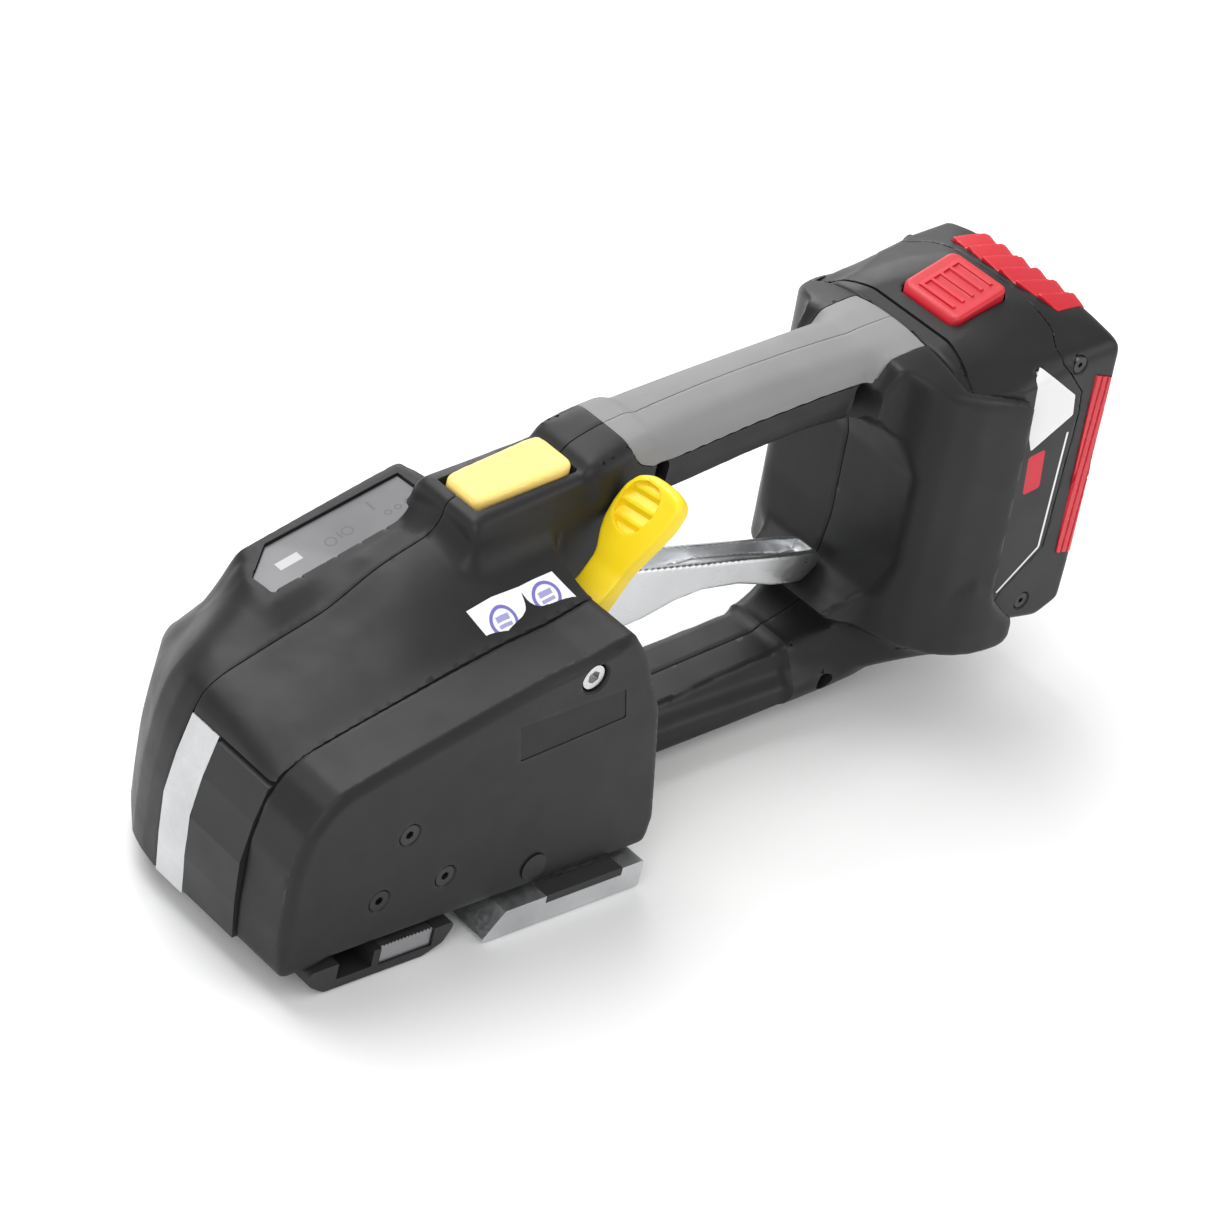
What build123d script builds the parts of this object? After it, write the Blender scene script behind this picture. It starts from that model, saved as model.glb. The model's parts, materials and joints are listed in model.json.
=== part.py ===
from build123d import *
import math
import os

# Battery strapping tool for 16 mm plastic strap, in millimetres.
# Working frame: +X from nose to battery, +Z up, y = 0 on the joint plane of the handle shells,
# z = 0 on the underside of the base plate, x = 0 at the nose. The strap runs on the -Y (left)
# side, the motor sits on the +Y (right) side. Parts are moved by -ORIGIN_X on export.
# Handle, foot and battery are drawn level and then pitched up towards the rear.

os.makedirs("parts", exist_ok=True)

# ---------------------------------------------------------------- driving dimensions
ORIGIN_X = 104.0          # working x of the exported origin
PITCH = 4.5               # pitch of handle, foot and battery, degrees
WALL = 2.6                # moulded wall thickness
SEAM = 0.05               # half gap between two moulded shells
HEAD_NEAR = -36.2         # strap-side edge of the housing shells
HEAD_FAR = 50.0           # far side of the housing
COVER_IN = -36.5          # inner edge of the side cover
COVER_OUT = -57.0         # outer face of the side cover
COVER_LIP = -53.6         # start of the raised face of the side cover
COVER_BOTTOM = 11.2       # lower edge of the side cover
PLATE_TOP = 9.2           # strap running surface of the base plate
PLATE_NEAR = -62.0        # outer edge of the base plate
PLATE_FAR = 12.0
LANE_IN, LANE_OUT = -39.7, -54.2   # strap lane
BATTERY_HALF = 39.0       # battery half width
BATTERY_SPLIT = 307.0     # joint of the battery shells, pitched frame

# Axes that run along Y, as (x, z)
MOTOR = MOTOR_X, MOTOR_Z = 70.0, 50.0      # motor axis and rocker pivot
SHAFT = SHAFT_X, SHAFT_Z = 109.0, 37.0     # eccentric shaft
RELEASE_PIVOT = 124.0, 60.0                # tensioning-release lever
WELD_PIVOT = 110.0, 74.0                   # weld lever
GUIDE_PIN = 93.4, 17.8                     # guide pin of the weld arm
JOURNAL = SHAFT_X, SHAFT_Z + 0.6           # eccentric journal, thrown up by 0.6
RELEASE_PIN_R, WELD_PIN_R = 3.0, 2.5
NOSE_ARM = 20.0           # lever nose is this far forward of the lever pivot

# Gears
GEAR_MODULE = 1.25
ADDENDUM, DEDENDUM = 0.92, 1.25   # in modules
BACKLASH = 0.12
PRESSURE_ANGLE = math.radians(20.0)
PINION_TEETH, WHEEL_TEETH = 16, 32
ROCKER_ANGLE = 35.0       # the wheel axis lies this far below horizontal, forward of the pivot
GEAR_CENTRES = GEAR_MODULE * (PINION_TEETH + WHEEL_TEETH) / 2

# Layers as (y start, y end)
FRAME_STRAP_WALL = -39.0, -36.6
FRAME_MID_WALL = -16.5, -12.5
FRAME_MOTOR_WALL = -1.2, 2.0
ROCKER_INNER = -31.1, -28.0
ROCKER_OUTER = -39.2, -36.6
PULLEYS = -10.8, -3.0
TENSION_WHEEL = -51.4, -40.3
WELD_ARM = -50.6, -41.0

# Bearings
BEARING_R = 8.0
SHAFT_R, WHEEL_SHAFT_R, ROTOR_SHAFT_R = 4.0, 5.0, 2.5
FIT = 0.05                # radial running clearance

# Screws: shank radius, shank length, head radius, head height, socket radius
HOUSING_SCREW = 1.95, 14.5, 3.5, 2.6, 1.7
COVER_SCREW = 1.5, 2.4, 3.3, 2.2, 1.4
COVER_TOP_SCREW = 1.95, 26.6, 3.9, 3.8, 2.2
BASE_SCREW = 2.0, 8.2, 3.9, 3.6, 1.9
SKID_SCREW = 1.5, 4.6, 2.8, 2.0, 1.3
BATTERY_SCREW = 1.2, 2.3, 2.7, 1.8, 1.0
ALONG_Y, AGAINST_Y, UP = (0, 1, 0), (0, -1, 0), (0, 0, 1)

# ---------------------------------------------------------------- helpers


# A drawing point (u, v) at level w, for drawings that are extruded or lofted along an axis.
def along_x(u, v, w):
    return Vector(w, u, v)


def along_y(u, v, w):
    return Vector(u, w, v)


def along_z(u, v, w):
    return Vector(u, v, w)


def polygon(points, place, level):
    return Wire.make_polygon([place(u, v, level) for u, v in points], close=True)


def rounded_wire(points, place, level, radii):
    """Closed wire whose corners are rounded with true arcs, one radius per point."""
    flat = [Vector(u, v) for u, v in points]
    count = len(flat)
    corners = []   # arc start, arc middle (None when sharp), arc end
    for i, corner in enumerate(flat):
        back = flat[i - 1] - corner
        ahead = flat[(i + 1) % count] - corner
        back_dir, ahead_dir = back.normalized(), ahead.normalized()
        angle = math.acos(max(-1.0, min(1.0, back_dir.dot(ahead_dir))))
        if radii[i] <= 0 or angle > math.radians(176):
            corners.append((corner, None, corner))
            continue
        slope = math.tan(angle / 2)
        reach = min(radii[i] / slope, 0.48 * back.length, 0.48 * ahead.length)
        radius = reach * slope
        bisector = (back_dir + ahead_dir).normalized()
        middle = corner + bisector * (radius / math.sin(angle / 2) - radius)
        corners.append((corner + back_dir * reach, middle, corner + ahead_dir * reach))

    def at(point):
        return place(point.X, point.Y, level)

    edges = []
    for i, (start, middle, end) in enumerate(corners):
        following = corners[(i + 1) % count][0]
        if middle is not None:
            edges.append(Edge.make_three_point_arc(at(start), at(middle), at(end)))
        if (following - end).length > 1e-6:
            edges.append(Edge.make_line(at(end), at(following)))
    return Wire(edges)


def prism(points, place, start, end, radii):
    """Extruded outline; radii is one corner radius or a list with one per point."""
    if not isinstance(radii, list):
        radii = [radii] * len(points)
    if max(radii) > 0:
        wire = rounded_wire(points, place, start, radii)
    else:
        wire = polygon(points, place, start)
    return Solid.extrude(Face(wire), place(0, 0, end - start))


def prism_x(points, x0, x1, radii=0.0):
    """(y, z) outline extruded along X."""
    return prism(points, along_x, x0, x1, radii)


def prism_y(points, y0, y1, radii=0.0):
    """(x, z) outline extruded along Y."""
    return prism(points, along_y, y0, y1, radii)


def prism_z(points, z0, z1, radii=0.0):
    """(x, y) outline extruded along Z."""
    return prism(points, along_z, z0, z1, radii)


def box(x0, x1, y0, y1, z0, z1):
    return prism_z([(x0, y0), (x1, y0), (x1, y1), (x0, y1)], z0, z1)


def loft(place, sections):
    """Ruled solid through (level, points) sections with equal point counts."""
    return Solid.make_loft([polygon(points, place, level) for level, points in sections],
                           ruled=True)


def cyl(origin, direction, radius, height):
    return Solid.make_cylinder(radius, height, Plane(origin=origin, z_dir=direction))


def cyl_y(x, z, radius, y0, y1):
    low, high = sorted((y0, y1))
    return cyl((x, low, z), ALONG_Y, radius, high - low)


def cyl_z(x, y, radius, z0, z1):
    return cyl((x, y, z0), UP, radius, z1 - z0)


def tube_y(x, z, outer_r, inner_r, y0, y1):
    return cyl_y(x, z, outer_r, y0, y1) - cyl_y(x, z, inner_r, y0 - 1, y1 + 1)


def cut(body, *tools):
    for tool in tools:
        body = body - tool
    return body


def mirror_u(half):
    """Half outline completed by its mirror image in u = 0."""
    return half + [(-u, v) for u, v in reversed(half) if u]


def mirror_v(half):
    """Half outline completed by its mirror image in v = 0."""
    return half + [(u, -v) for u, v in reversed(half) if v]


def span(side, inner, outer):
    """Ascending y range between two distances from y = 0 on one side (-1 or 1)."""
    return sorted((side * inner, side * outer))


def inset(points, distances):
    """Polygon moved inwards by one distance, or by one per edge i -> i + 1."""
    if not isinstance(distances, list):
        distances = [distances] * len(points)
    ends = list(zip(points, points[1:] + points[:1]))
    area = sum(u0 * v1 - u1 * v0 for (u0, v0), (u1, v1) in ends)
    sign = 1.0 if area > 0 else -1.0
    lines = []
    for ((u0, v0), (u1, v1)), distance in zip(ends, distances):
        length = math.hypot(u1 - u0, v1 - v0)
        du, dv = (u1 - u0) / length, (v1 - v0) / length
        lines.append((u0 - dv * sign * distance, v0 + du * sign * distance, du, dv))
    moved = []
    for i, (u1, v1, du1, dv1) in enumerate(lines):
        u0, v0, du0, dv0 = lines[i - 1]
        cross = du0 * dv1 - dv0 * du1
        if abs(cross) < 1e-9:
            moved.append((u1, v1))
            continue
        run = ((u1 - u0) * dv1 - (v1 - v0) * du1) / cross
        moved.append((u0 + du0 * run, v0 + dv0 * run))
    return moved


def polar(center, radius, angle):
    """Point at an angle in radians round a center."""
    return (center[0] + radius * math.cos(angle), center[1] + radius * math.sin(angle))


def pitched(along, up):
    """Pitched-frame coordinates to working x, z."""
    return polar((along * math.cos(math.radians(PITCH)), along * math.sin(math.radians(PITCH))),
                 up, math.radians(90 + PITCH))


def tilt(shape):
    """Solid drawn level, turned into the pitched frame."""
    return shape.rotate(Axis((0, 0, 0), (0, 1, 0)), -PITCH)


def ridges(x_start, pitch, count, root, tip):
    """Points of a row of triangular teeth, without the starting point."""
    points = []
    for k in range(count):
        x = x_start + pitch * k
        points += [(x + pitch / 2, tip), (x + pitch, root)]
    return points


def link(start, start_r, end, end_r, y0, y1):
    """Plate with round ends joined by tangents."""
    dx, dz = end[0] - start[0], end[1] - start[1]
    angle = math.atan2(dz, dx)
    off = math.acos((start_r - end_r) / math.hypot(dx, dz))
    points = [polar(start, start_r, angle + off), polar(end, end_r, angle + off),
              polar(end, end_r, angle - off), polar(start, start_r, angle - off)]
    return (prism_y(points, y0, y1) + cyl_y(*start, start_r, y0, y1)
            + cyl_y(*end, end_r, y0, y1))


def gear(center, teeth, y0, y1, phase):
    """Spur gear with involute flanks; a tooth centre points along phase degrees."""
    pitch_r = GEAR_MODULE * teeth / 2
    base_r = pitch_r * math.cos(PRESSURE_ANGLE)
    tip_r = pitch_r + ADDENDUM * GEAR_MODULE
    root_r = pitch_r - DEDENDUM * GEAR_MODULE

    def involute(radius):
        if radius <= base_r:
            return 0.0
        angle = math.acos(base_r / radius)
        return math.tan(angle) - angle

    half_tooth = (math.pi * GEAR_MODULE / 2 - BACKLASH) / (2 * pitch_r) + involute(pitch_r)
    flank_r = max(base_r, root_r + 0.05)
    radii = [flank_r + (tip_r - flank_r) * k / 4 for k in range(5)]
    flank = [(radius, half_tooth - involute(radius)) for radius in radii]
    flank = [(root_r, flank[0][1])] + flank
    points = []
    for k in range(teeth):
        middle = math.radians(phase) + 2 * math.pi * k / teeth
        points += [polar(center, radius, middle - half) for radius, half in flank]
        points += [polar(center, radius, middle + half) for radius, half in reversed(flank)]
    return prism_y(points, y0, y1)


def coil(start, radius, wire_r, length, turns):
    """Helical spring growing upwards from start."""
    helix = Edge.make_helix(length / turns, length, radius)
    helix = helix.located(Plane(origin=start, z_dir=UP).location)
    return sweep(Plane(origin=helix @ 0, z_dir=helix % 0) * Circle(wire_r), path=helix)


def screw(under_head, direction, size):
    """Socket head screw; the shank runs along direction from the underside of the head."""
    shank_r, length, head_r, head_h, socket_r = size
    top = tuple(Vector(*under_head) - Vector(*direction) * head_h)
    body = cyl(under_head, direction, shank_r, length) + cyl(top, direction, head_r, head_h)
    socket = Plane(origin=top, z_dir=direction) * RegularPolygon(socket_r, 6)
    return body - extrude(socket, amount=head_h * 0.62)


def export_part(name, *shapes):
    """Write the solids of one part, moved to the exported origin, without boolean crumbs."""
    solids = []
    for shape in shapes:
        for item in shape if isinstance(shape, (list, tuple)) else [shape]:
            solids += list(item.solids())
    moved = [s.moved(Location((-ORIGIN_X, 0, 0))) for s in solids if s.volume > 0.5]
    whole = Compound(children=moved) if len(moved) > 1 else moved[0]
    export_step(whole, f"parts/{name}.step")


# ---------------------------------------------------------------- places shared by several parts
WHEEL = WHEEL_X, WHEEL_Z = polar(MOTOR, GEAR_CENTRES, math.radians(180 + ROCKER_ANGLE))
TOOTH_ROOT, TOOTH_TIP = 8.6, 9.4           # teeth of the tooth plate
WHEEL_R = WHEEL_Z - (TOOTH_TIP + 0.85)     # tension wheel radius, leaves a gap over the teeth

HOUSING_SCREWS = [(247.0, 11.2), (141.5, 24.0), pitched(243.5, 99.5), pitched(163.0, 99.5)]
COVER_SCREWS = [(41.3, 46.7), (58.8, 26.2), (35.0, 25.7)]            # x, z
TOP_SCREW = (100.9, 81.6)                                            # x, z
PLATE_SCREWS = [(82.0, -28.0), (122.0, -28.0), (82.0, 5.0), (122.0, 5.0)]   # x, y
SKID_SCREWS = [(24.0, -31.0), (56.0, -31.0)]                         # x, y

# ---------------------------------------------------------------- head of the housing
# x, z of the nose, bottom to top, then of the whole head silhouette
NOSE = [(2.4, 8.3), (0.9, 22.4), (0.0, 36.7), (2.1, 50.0), (5.3, 62.0), (8.4, 69.6)]
HEAD_SIDE = NOSE + [(12.0, 74.0), (12.0, 125.0), (148.0, 125.0), (148.0, 9.5), (74.0, 9.5),
                    (72.0, 8.3)]
# x, y of the head seen from above
HEAD_PLAN = [(-1.0, HEAD_NEAR), (-1.0, -10.0), (-0.2, 0.0), (3.4, 15.0), (14.0, 31.0),
             (34.0, HEAD_FAR), (150.0, HEAD_FAR), (150.0, HEAD_NEAR)]
ROOF_Y = (HEAD_NEAR, -24.0, -12.0, 0.0, 12.0, 31.0, 40.0, HEAD_FAR)
# x, then the roof heights at each ROOF_Y
HEAD_ROOF = [
    (-3.0, 62.0, 66.0, 68.0, 69.0, 67.5, 56.0, 48.0, 36.0),
    (8.4, 63.0, 67.0, 69.0, 70.0, 69.0, 58.0, 50.0, 38.0),
    (14.2, 68.3, 71.0, 72.2, 72.6, 72.0, 61.0, 52.0, 40.0),
    (31.0, 73.0, 75.6, 77.2, 78.0, 77.6, 66.0, 58.0, 47.0),
    (36.5, 74.4, 77.0, 79.0, 79.8, 84.2, 84.2, 60.0, 50.0),
    (48.0, 77.3, 80.4, 82.6, 83.5, 87.6, 87.6, 66.0, 56.0),
    (64.0, 81.4, 87.0, 92.0, 94.8, 93.4, 92.3, 72.0, 61.0),
    (86.0, 86.3, 93.4, 99.6, 103.0, 100.4, 98.7, 77.0, 64.0),
    (96.0, 87.4, 94.0, 100.4, 103.6, 102.0, 101.4, 78.0, 65.0),
    (101.0, 88.6, 95.0, 101.0, 104.0, 100.0, 88.0, 77.0, 64.0),
    (114.0, 92.6, 96.5, 101.5, 104.5, 100.0, 87.0, 75.0, 62.0),
    (140.0, 92.6, 96.5, 101.5, 104.5, 100.0, 85.0, 70.0, 56.0),
]
# x, z of the head in front of the rear slope beside the neck, outside and inside
REAR_SLOPE = [(114.0, 92.8), (131.0, 62.0), (134.6, 40.0), (138.0, 16.0), (138.0, 0.0),
              (-10.0, 0.0), (-10.0, 130.0), (114.0, 130.0)]
REAR_SLOPE_IN = [(111.6, 91.0), (128.0, 61.6), (131.8, 40.0), (135.0, 16.0), (135.0, 0.0),
                 (-10.0, 0.0), (-10.0, 130.0), (111.6, 130.0)]


def head_section(x, heights, wall):
    points = [(HEAD_NEAR, 4.0), *zip(ROOF_Y, heights), (HEAD_FAR, 22.0), (40.0, 4.0)]
    if wall:
        points = inset(points, [0.0] + [wall] * 9 + [0.0])
    return (x, points)


def head_roof(wall=0.0):
    return loft(along_x, [head_section(x, heights, wall) for x, *heights in HEAD_ROOF])


head_loft = head_roof()
head_front = prism_y(REAR_SLOPE, -80, 80)
head = head_loft & prism_y(HEAD_SIDE, -80, 80) & prism_z(HEAD_PLAN, -5, 130) & head_front
head_core = (head_roof(WALL) & prism_y(inset(HEAD_SIDE, WALL), -80, 80)
             & prism_z(inset(HEAD_PLAN, [WALL] * 7 + [0.0]), -5, 130)
             & prism_y(REAR_SLOPE_IN, -80, 80))

# ---------------------------------------------------------------- neck
# Joins head and handle and forms the collar round the tension button.
NECK = [(84.9, 99.0), (85.3, 113.2), (88.0, 114.6), (127.1, 117.2), (133.8, 118.9),
        (140.0, 121.0), (150.0, 122.6), (156.0, 104.0), (150.5, 98.0), (148.0, 84.0),
        (148.0, 20.0), (150.0, 9.0), (120.0, 9.5), (100.0, 9.5), (96.0, 60.0)]
NECK_IN = [(87.8, 99.0), (88.2, 110.9), (127.0, 113.6), (133.4, 116.2), (140.0, 118.2),
           (149.0, 119.9), (153.0, 104.6), (147.6, 98.4), (145.4, 84.0), (145.4, 20.0),
           (147.0, 12.0), (120.0, 12.0), (104.0, 12.0), (99.0, 60.0)]
NECK_SECTION = mirror_u([(-15.0, 0.0), (-15.0, 106.0), (-12.5, 111.0), (-10.5, 125.0)])
NECK_SECTION_IN = mirror_u([(-12.4, 0.0), (-12.4, 105.0), (-9.8, 110.0), (-8.2, 125.0)])

neck = prism_y(NECK, -15.0, 15.0) & prism_x(NECK_SECTION, 80, 160)
neck_core = prism_y(NECK_IN, -12.4, 12.4) & prism_x(NECK_SECTION_IN, 80, 160)

# ---------------------------------------------------------------- handle (pitched frame)
HANDLE = [(144.0, 108.6), (151.0, 109.4), (170.0, 111.4), (190.0, 112.8), (206.0, 113.2),
          (225.0, 112.6), (245.0, 111.2), (262.0, 109.6), (270.5, 109.0), (270.5, 84.0),
          (252.0, 84.6), (240.0, 89.0), (222.0, 91.0), (200.0, 90.4), (176.0, 88.2),
          (160.0, 87.6), (152.0, 84.0), (144.0, 92.0)]
HANDLE_IN = [(140.0, 104.0), (151.0, 106.6), (170.0, 108.6), (190.0, 110.0), (206.0, 110.4),
             (225.0, 109.8), (245.0, 108.4), (267.8, 106.6), (267.8, 88.0), (254.0, 88.4),
             (241.0, 91.9), (222.0, 93.8), (200.0, 93.2), (176.0, 91.0), (156.0, 90.4),
             (140.0, 92.0)]
HANDLE_SECTION = mirror_u([(-9.0, 80.0), (-12.6, 88.0), (-14.6, 98.0), (-13.4, 106.5),
                           (-8.0, 112.0), (0.0, 113.6)])

handle = tilt(prism_y(HANDLE, -20, 20) & prism_x(HANDLE_SECTION, 140, 275))
handle_core = tilt(prism_y(HANDLE_IN, -20, 20) & prism_x(inset(HANDLE_SECTION, 2.5), 138, 275))

# ---------------------------------------------------------------- lower beam
BEAM = [(134.0, 17.2), (150.0, 17.0), (185.5, 18.0), (226.3, 21.6), (247.3, 23.8),
        (262.0, 27.0), (262.0, 8.2), (246.0, 6.4), (210.0, 4.6), (180.0, 3.4), (150.0, 4.6),
        (138.0, 9.5), (134.0, 9.6)]
BEAM_SECTION = mirror_u([(-11.0, 30.0), (-12.0, 21.0), (-18.5, 11.0), (-18.5, 2.0)])

beam = prism_y(BEAM, -20, 20) & prism_x(BEAM_SECTION, 130, 264)
beam_core = (prism_y(inset(BEAM, WALL), -20, 20)
             & prism_x(inset(BEAM_SECTION, WALL), 136.6, 264))

# ---------------------------------------------------------------- battery foot (pitched frame)
FOOT = [(243.0, 96.0), (250.0, 109.8), (266.0, 111.2), (271.0, 109.4), (271.0, 106.0),
        (292.0, 97.0), (292.4, 20.0), (301.0, 8.0), (301.5, 0.6), (288.0, 2.0), (272.0, 5.6),
        (248.0, 15.0), (240.0, 18.6), (248.0, 21.6), (255.0, 27.0), (257.6, 40.0),
        (257.6, 72.0), (254.0, 84.0), (247.0, 91.0)]
FOOT_IN = [(247.0, 97.0), (251.0, 106.6), (264.6, 107.4), (264.6, 8.6), (249.6, 17.6),
           (252.0, 21.4), (257.4, 25.8), (260.3, 40.0), (260.3, 72.6), (256.4, 86.0),
           (249.6, 93.0)]
FOOT_PLAN = mirror_v([(238.0, -18.0), (256.0, -25.0), (266.0, -34.0), (279.0, -41.0),
                      (303.0, -43.2)])
FOOT_TOP = mirror_v([(236.0, -13.5), (250.0, -24.0), (258.0, -36.0), (268.0, -41.4),
                     (303.0, -43.2)])
FOOT_LEVELS = [(-2.0, FOOT_PLAN), (60.0, FOOT_PLAN), (84.0, FOOT_PLAN), (104.0, FOOT_TOP),
               (116.0, FOOT_TOP)]
FOOT_SECTION = mirror_u([(-43.5, -3.0), (-43.5, 96.0), (-41.5, 103.0), (-37.0, 108.6),
                         (-20.0, 110.6), (0.0, 112.0)])
FOOT_SECTION_IN = mirror_u([(-40.0, -3.0), (-40.0, 96.0), (-36.0, 104.0)])

foot = tilt(prism_y(FOOT, -50, 50) & loft(along_z, FOOT_LEVELS)
            & prism_x(FOOT_SECTION, 230, 305))
foot_core = (prism_y(FOOT_IN, -50, 50)
             & loft(along_z, [(z, inset(points, WALL)) for z, points in FOOT_LEVELS]))
foot_core = tilt(foot_core & prism_x(FOOT_SECTION_IN, 230, 305))
# The battery drops into this pocket from above.
pocket = tilt(box(267.4, 310.0, -39.6, 39.6, 5.2, 125.0))

# ---------------------------------------------------------------- keel under the foot
# Sweeps out from the beam to the battery lip: x, then (half width, z) from bottom to top.
KEEL = [
    (236.0, (15.0, 5.9), (18.5, 10.0), (12.5, 20.0), (10.5, 22.6)),
    (252.0, (16.0, 6.9), (21.0, 14.0), (18.0, 24.0), (17.0, 30.0)),
    (262.0, (17.0, 8.6), (27.0, 18.0), (28.0, 30.0), (25.0, 45.0)),
    (280.0, (20.0, 13.5), (36.0, 22.0), (41.0, 34.0), (41.0, 50.0)),
    (300.5, (26.0, 21.0), (40.0, 24.2), (43.0, 30.0), (43.0, 34.0)),
]
KEEL_IN = [
    (239.0, (12.6, 8.7), (15.4, 12.0), (9.9, 17.8), (8.0, 20.2)),
    (252.0, (13.4, 9.6), (17.8, 15.4), (15.0, 23.6), (14.0, 28.0)),
    (261.6, (14.4, 11.3), (23.6, 18.6), (24.6, 29.0), (21.6, 40.0)),
    (262.6, (14.4, 11.4), (23.6, 18.2), (24.6, 22.2), (21.6, 22.8)),
    (286.0, (17.0, 18.2), (31.0, 22.6), (33.0, 23.9), (29.0, 24.4)),
]


def keel_loft(table):
    return loft(along_x, [(x, mirror_u([(-half, z) for half, z in sides]))
                          for x, *sides in table])


outer = head + neck + handle + beam + foot + keel_loft(KEEL)
core = head_core + neck_core + handle_core + beam_core + foot_core + keel_loft(KEEL_IN)
shell = outer - core - pocket

# ---------------------------------------------------------------- grip pads
# Soft pads let into the handle skin on both sides of the joint (pitched frame).
GRIP = [(150.0, 116.0), (151.2, 108.0), (153.6, 104.0), (159.0, 101.6), (170.0, 101.2),
        (200.0, 102.6), (230.0, 102.8), (262.0, 101.4), (267.4, 101.4), (267.4, 116.0)]
UNDER_GRIP = [(140.0, 104.0), (151.0, 107.9), (170.0, 109.9), (190.0, 111.3), (206.0, 111.7),
              (225.0, 111.1), (245.0, 109.7), (262.0, 108.1), (272.0, 107.5), (272.0, 80.0),
              (140.0, 80.0)]

grip_zone = tilt(prism_y(GRIP, -20, 20, [0, 0, 3, 4, 0, 0, 0, 0, 0, 0]))
under_grip = tilt(prism_y(UNDER_GRIP, -20, 20) & prism_x(inset(HANDLE_SECTION, 1.5), 138, 275))
grip = (handle - under_grip) & grip_zone
export_part("grip_left", grip & box(100, 300, -40, -SEAM, 50, 160))
export_part("grip_right", grip & box(100, 300, SEAM, 40, 50, 160))

# ---------------------------------------------------------------- display in the riser
FILM_PLAN = [(38.2, 12.6), (37.6, 21.0), (48.0, 29.6), (93.0, 28.6), (94.0, 12.6)]


def riser_band(x0, x1, low, high, y0, y1):
    """Slab between two offsets from the sloping top line of the riser."""
    z0, z1 = (84.5 + 0.29 * (x - 37.0) for x in (x0, x1))
    return prism_y([(x0, z0 + low), (x1, z1 + low), (x1, z1 + high), (x0, z0 + high)], y0, y1)


display_recess = riser_band(34.0, 96.0, -1.9, 9.0, 5, 40) & prism_z(FILM_PLAN, 70, 125)
display_window = riser_band(46.0, 88.0, -8.0, 2.0, 15.5, 26.5)
export_part("display_film", riser_band(34.0, 96.0, -1.85, -1.15, 5, 40)
            & prism_z(inset(FILM_PLAN, 0.25), 70, 125))
screen = riser_band(47.0, 87.0, -5.0, -2.2, 16.0, 26.0)
export_part("display_module", screen + riser_band(44.0, 90.0, -6.6, -5.0, 14.0, 28.4))

# ---------------------------------------------------------------- housing shells
NEAR_MOUTH = [(7.5, 4.0), (7.5, 60.5), (16.0, 66.0), (60.0, 76.5), (100.0, 84.0),
              (110.0, 84.0), (126.0, 58.0), (130.0, 38.0), (132.0, 4.0)]
WELD_SLOT = [(104.0, 66.0), (104.0, 84.0), (113.5, 86.0), (115.0, 104.0), (140.0, 104.0),
             (140.0, 69.0), (118.0, 66.0)]
WELD_HANGER = [(102.0, 99.0), (118.0, 99.0), (117.0, 84.0), (115.0, 69.0), (105.0, 69.0),
               (102.0, 84.0)]
BOSS_FACE = HEAD_NEAR + 0.05

# Openings
under_plate = box(71.5, 136.5, PLATE_NEAR - 1, PLATE_FAR + 0.4, -5, PLATE_TOP + 0.3)
flange_mouth = box(73.2, 131.8, -3.0, 11.4, 0.0, 13.6)
strap_mouth = box(3.0, 136.0, HEAD_NEAR - 2, 0.0, 0.0, 13.6) + flange_mouth
lever_slot = box(140.0, 160.0, -7.4, 7.4, 44.0, 80.0)
lever_way = box(112.0, 146.0, -40.0, 8.6, 47.0, 78.0) & box(90, 132.0, -33.0, 8.6, 47.0, 78.0)
button_hole = box(89.2, 126.2, -8.9, 8.9, 100.0, 125.0)
rail_block_hole = tilt(box(263.0, 269.0, -17.6, 17.6, 11.6, 92.4))


def housing_left():
    left = shell & box(-10, 320, -90, -SEAM, -20, 150)
    left = cut(left, under_plate, rail_block_hole,
               box(-6.0, 10.2, HEAD_NEAR - 1, 0.5, 0.0, 62.3),      # nose window
               prism_y(NEAR_MOUTH, HEAD_NEAR - 2, -22.0),
               strap_mouth, lever_slot, lever_way,
               prism_y(WELD_SLOT, -35.2, -20.2), button_hole)
    for x, z in HOUSING_SCREWS:
        left = left + (cyl_y(x, z, 5.4, -60.0, -SEAM) & outer)
    for x, z in HOUSING_SCREWS:
        left = cut(left, cyl_y(x, z, 2.1, -60, 2), cyl_y(x, z, 3.9, -60, -6.0))
    # Boss of the release lever pin
    boss = prism_y([(118.0, 66.0), (131.0, 66.0), (134.0, 50.0), (118.0, 54.0)],
                   BOSS_FACE, -33.2)
    left = left + (boss & head_front)
    left = left - cyl_y(*RELEASE_PIVOT, RELEASE_PIN_R + 0.06, -37, -30)
    # Two cheeks that carry the weld lever pin
    hanger = prism_y(WELD_HANGER, -50, 0, [0, 0, 0, 4, 4, 0]) & outer
    left = (left + (hanger & box(90, 140, BOSS_FACE, -34.7, 50, 120))
            + (hanger & box(90, 140, -20.3, -18.0, 50, 120)))
    left = left - cyl_y(*WELD_PIVOT, WELD_PIN_R + 0.03, -37, -17)
    left = left - grip
    # Boss of the top cover screw
    left = (left + (cyl_y(*TOP_SCREW, 4.6, BOSS_FACE, -24.0) & outer)
            + (box(96.0, 106.0, BOSS_FACE, -30.0, 80.0, 99.0) & outer))
    return left - cyl_y(*TOP_SCREW, 2.02, -40, -25.0)


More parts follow.
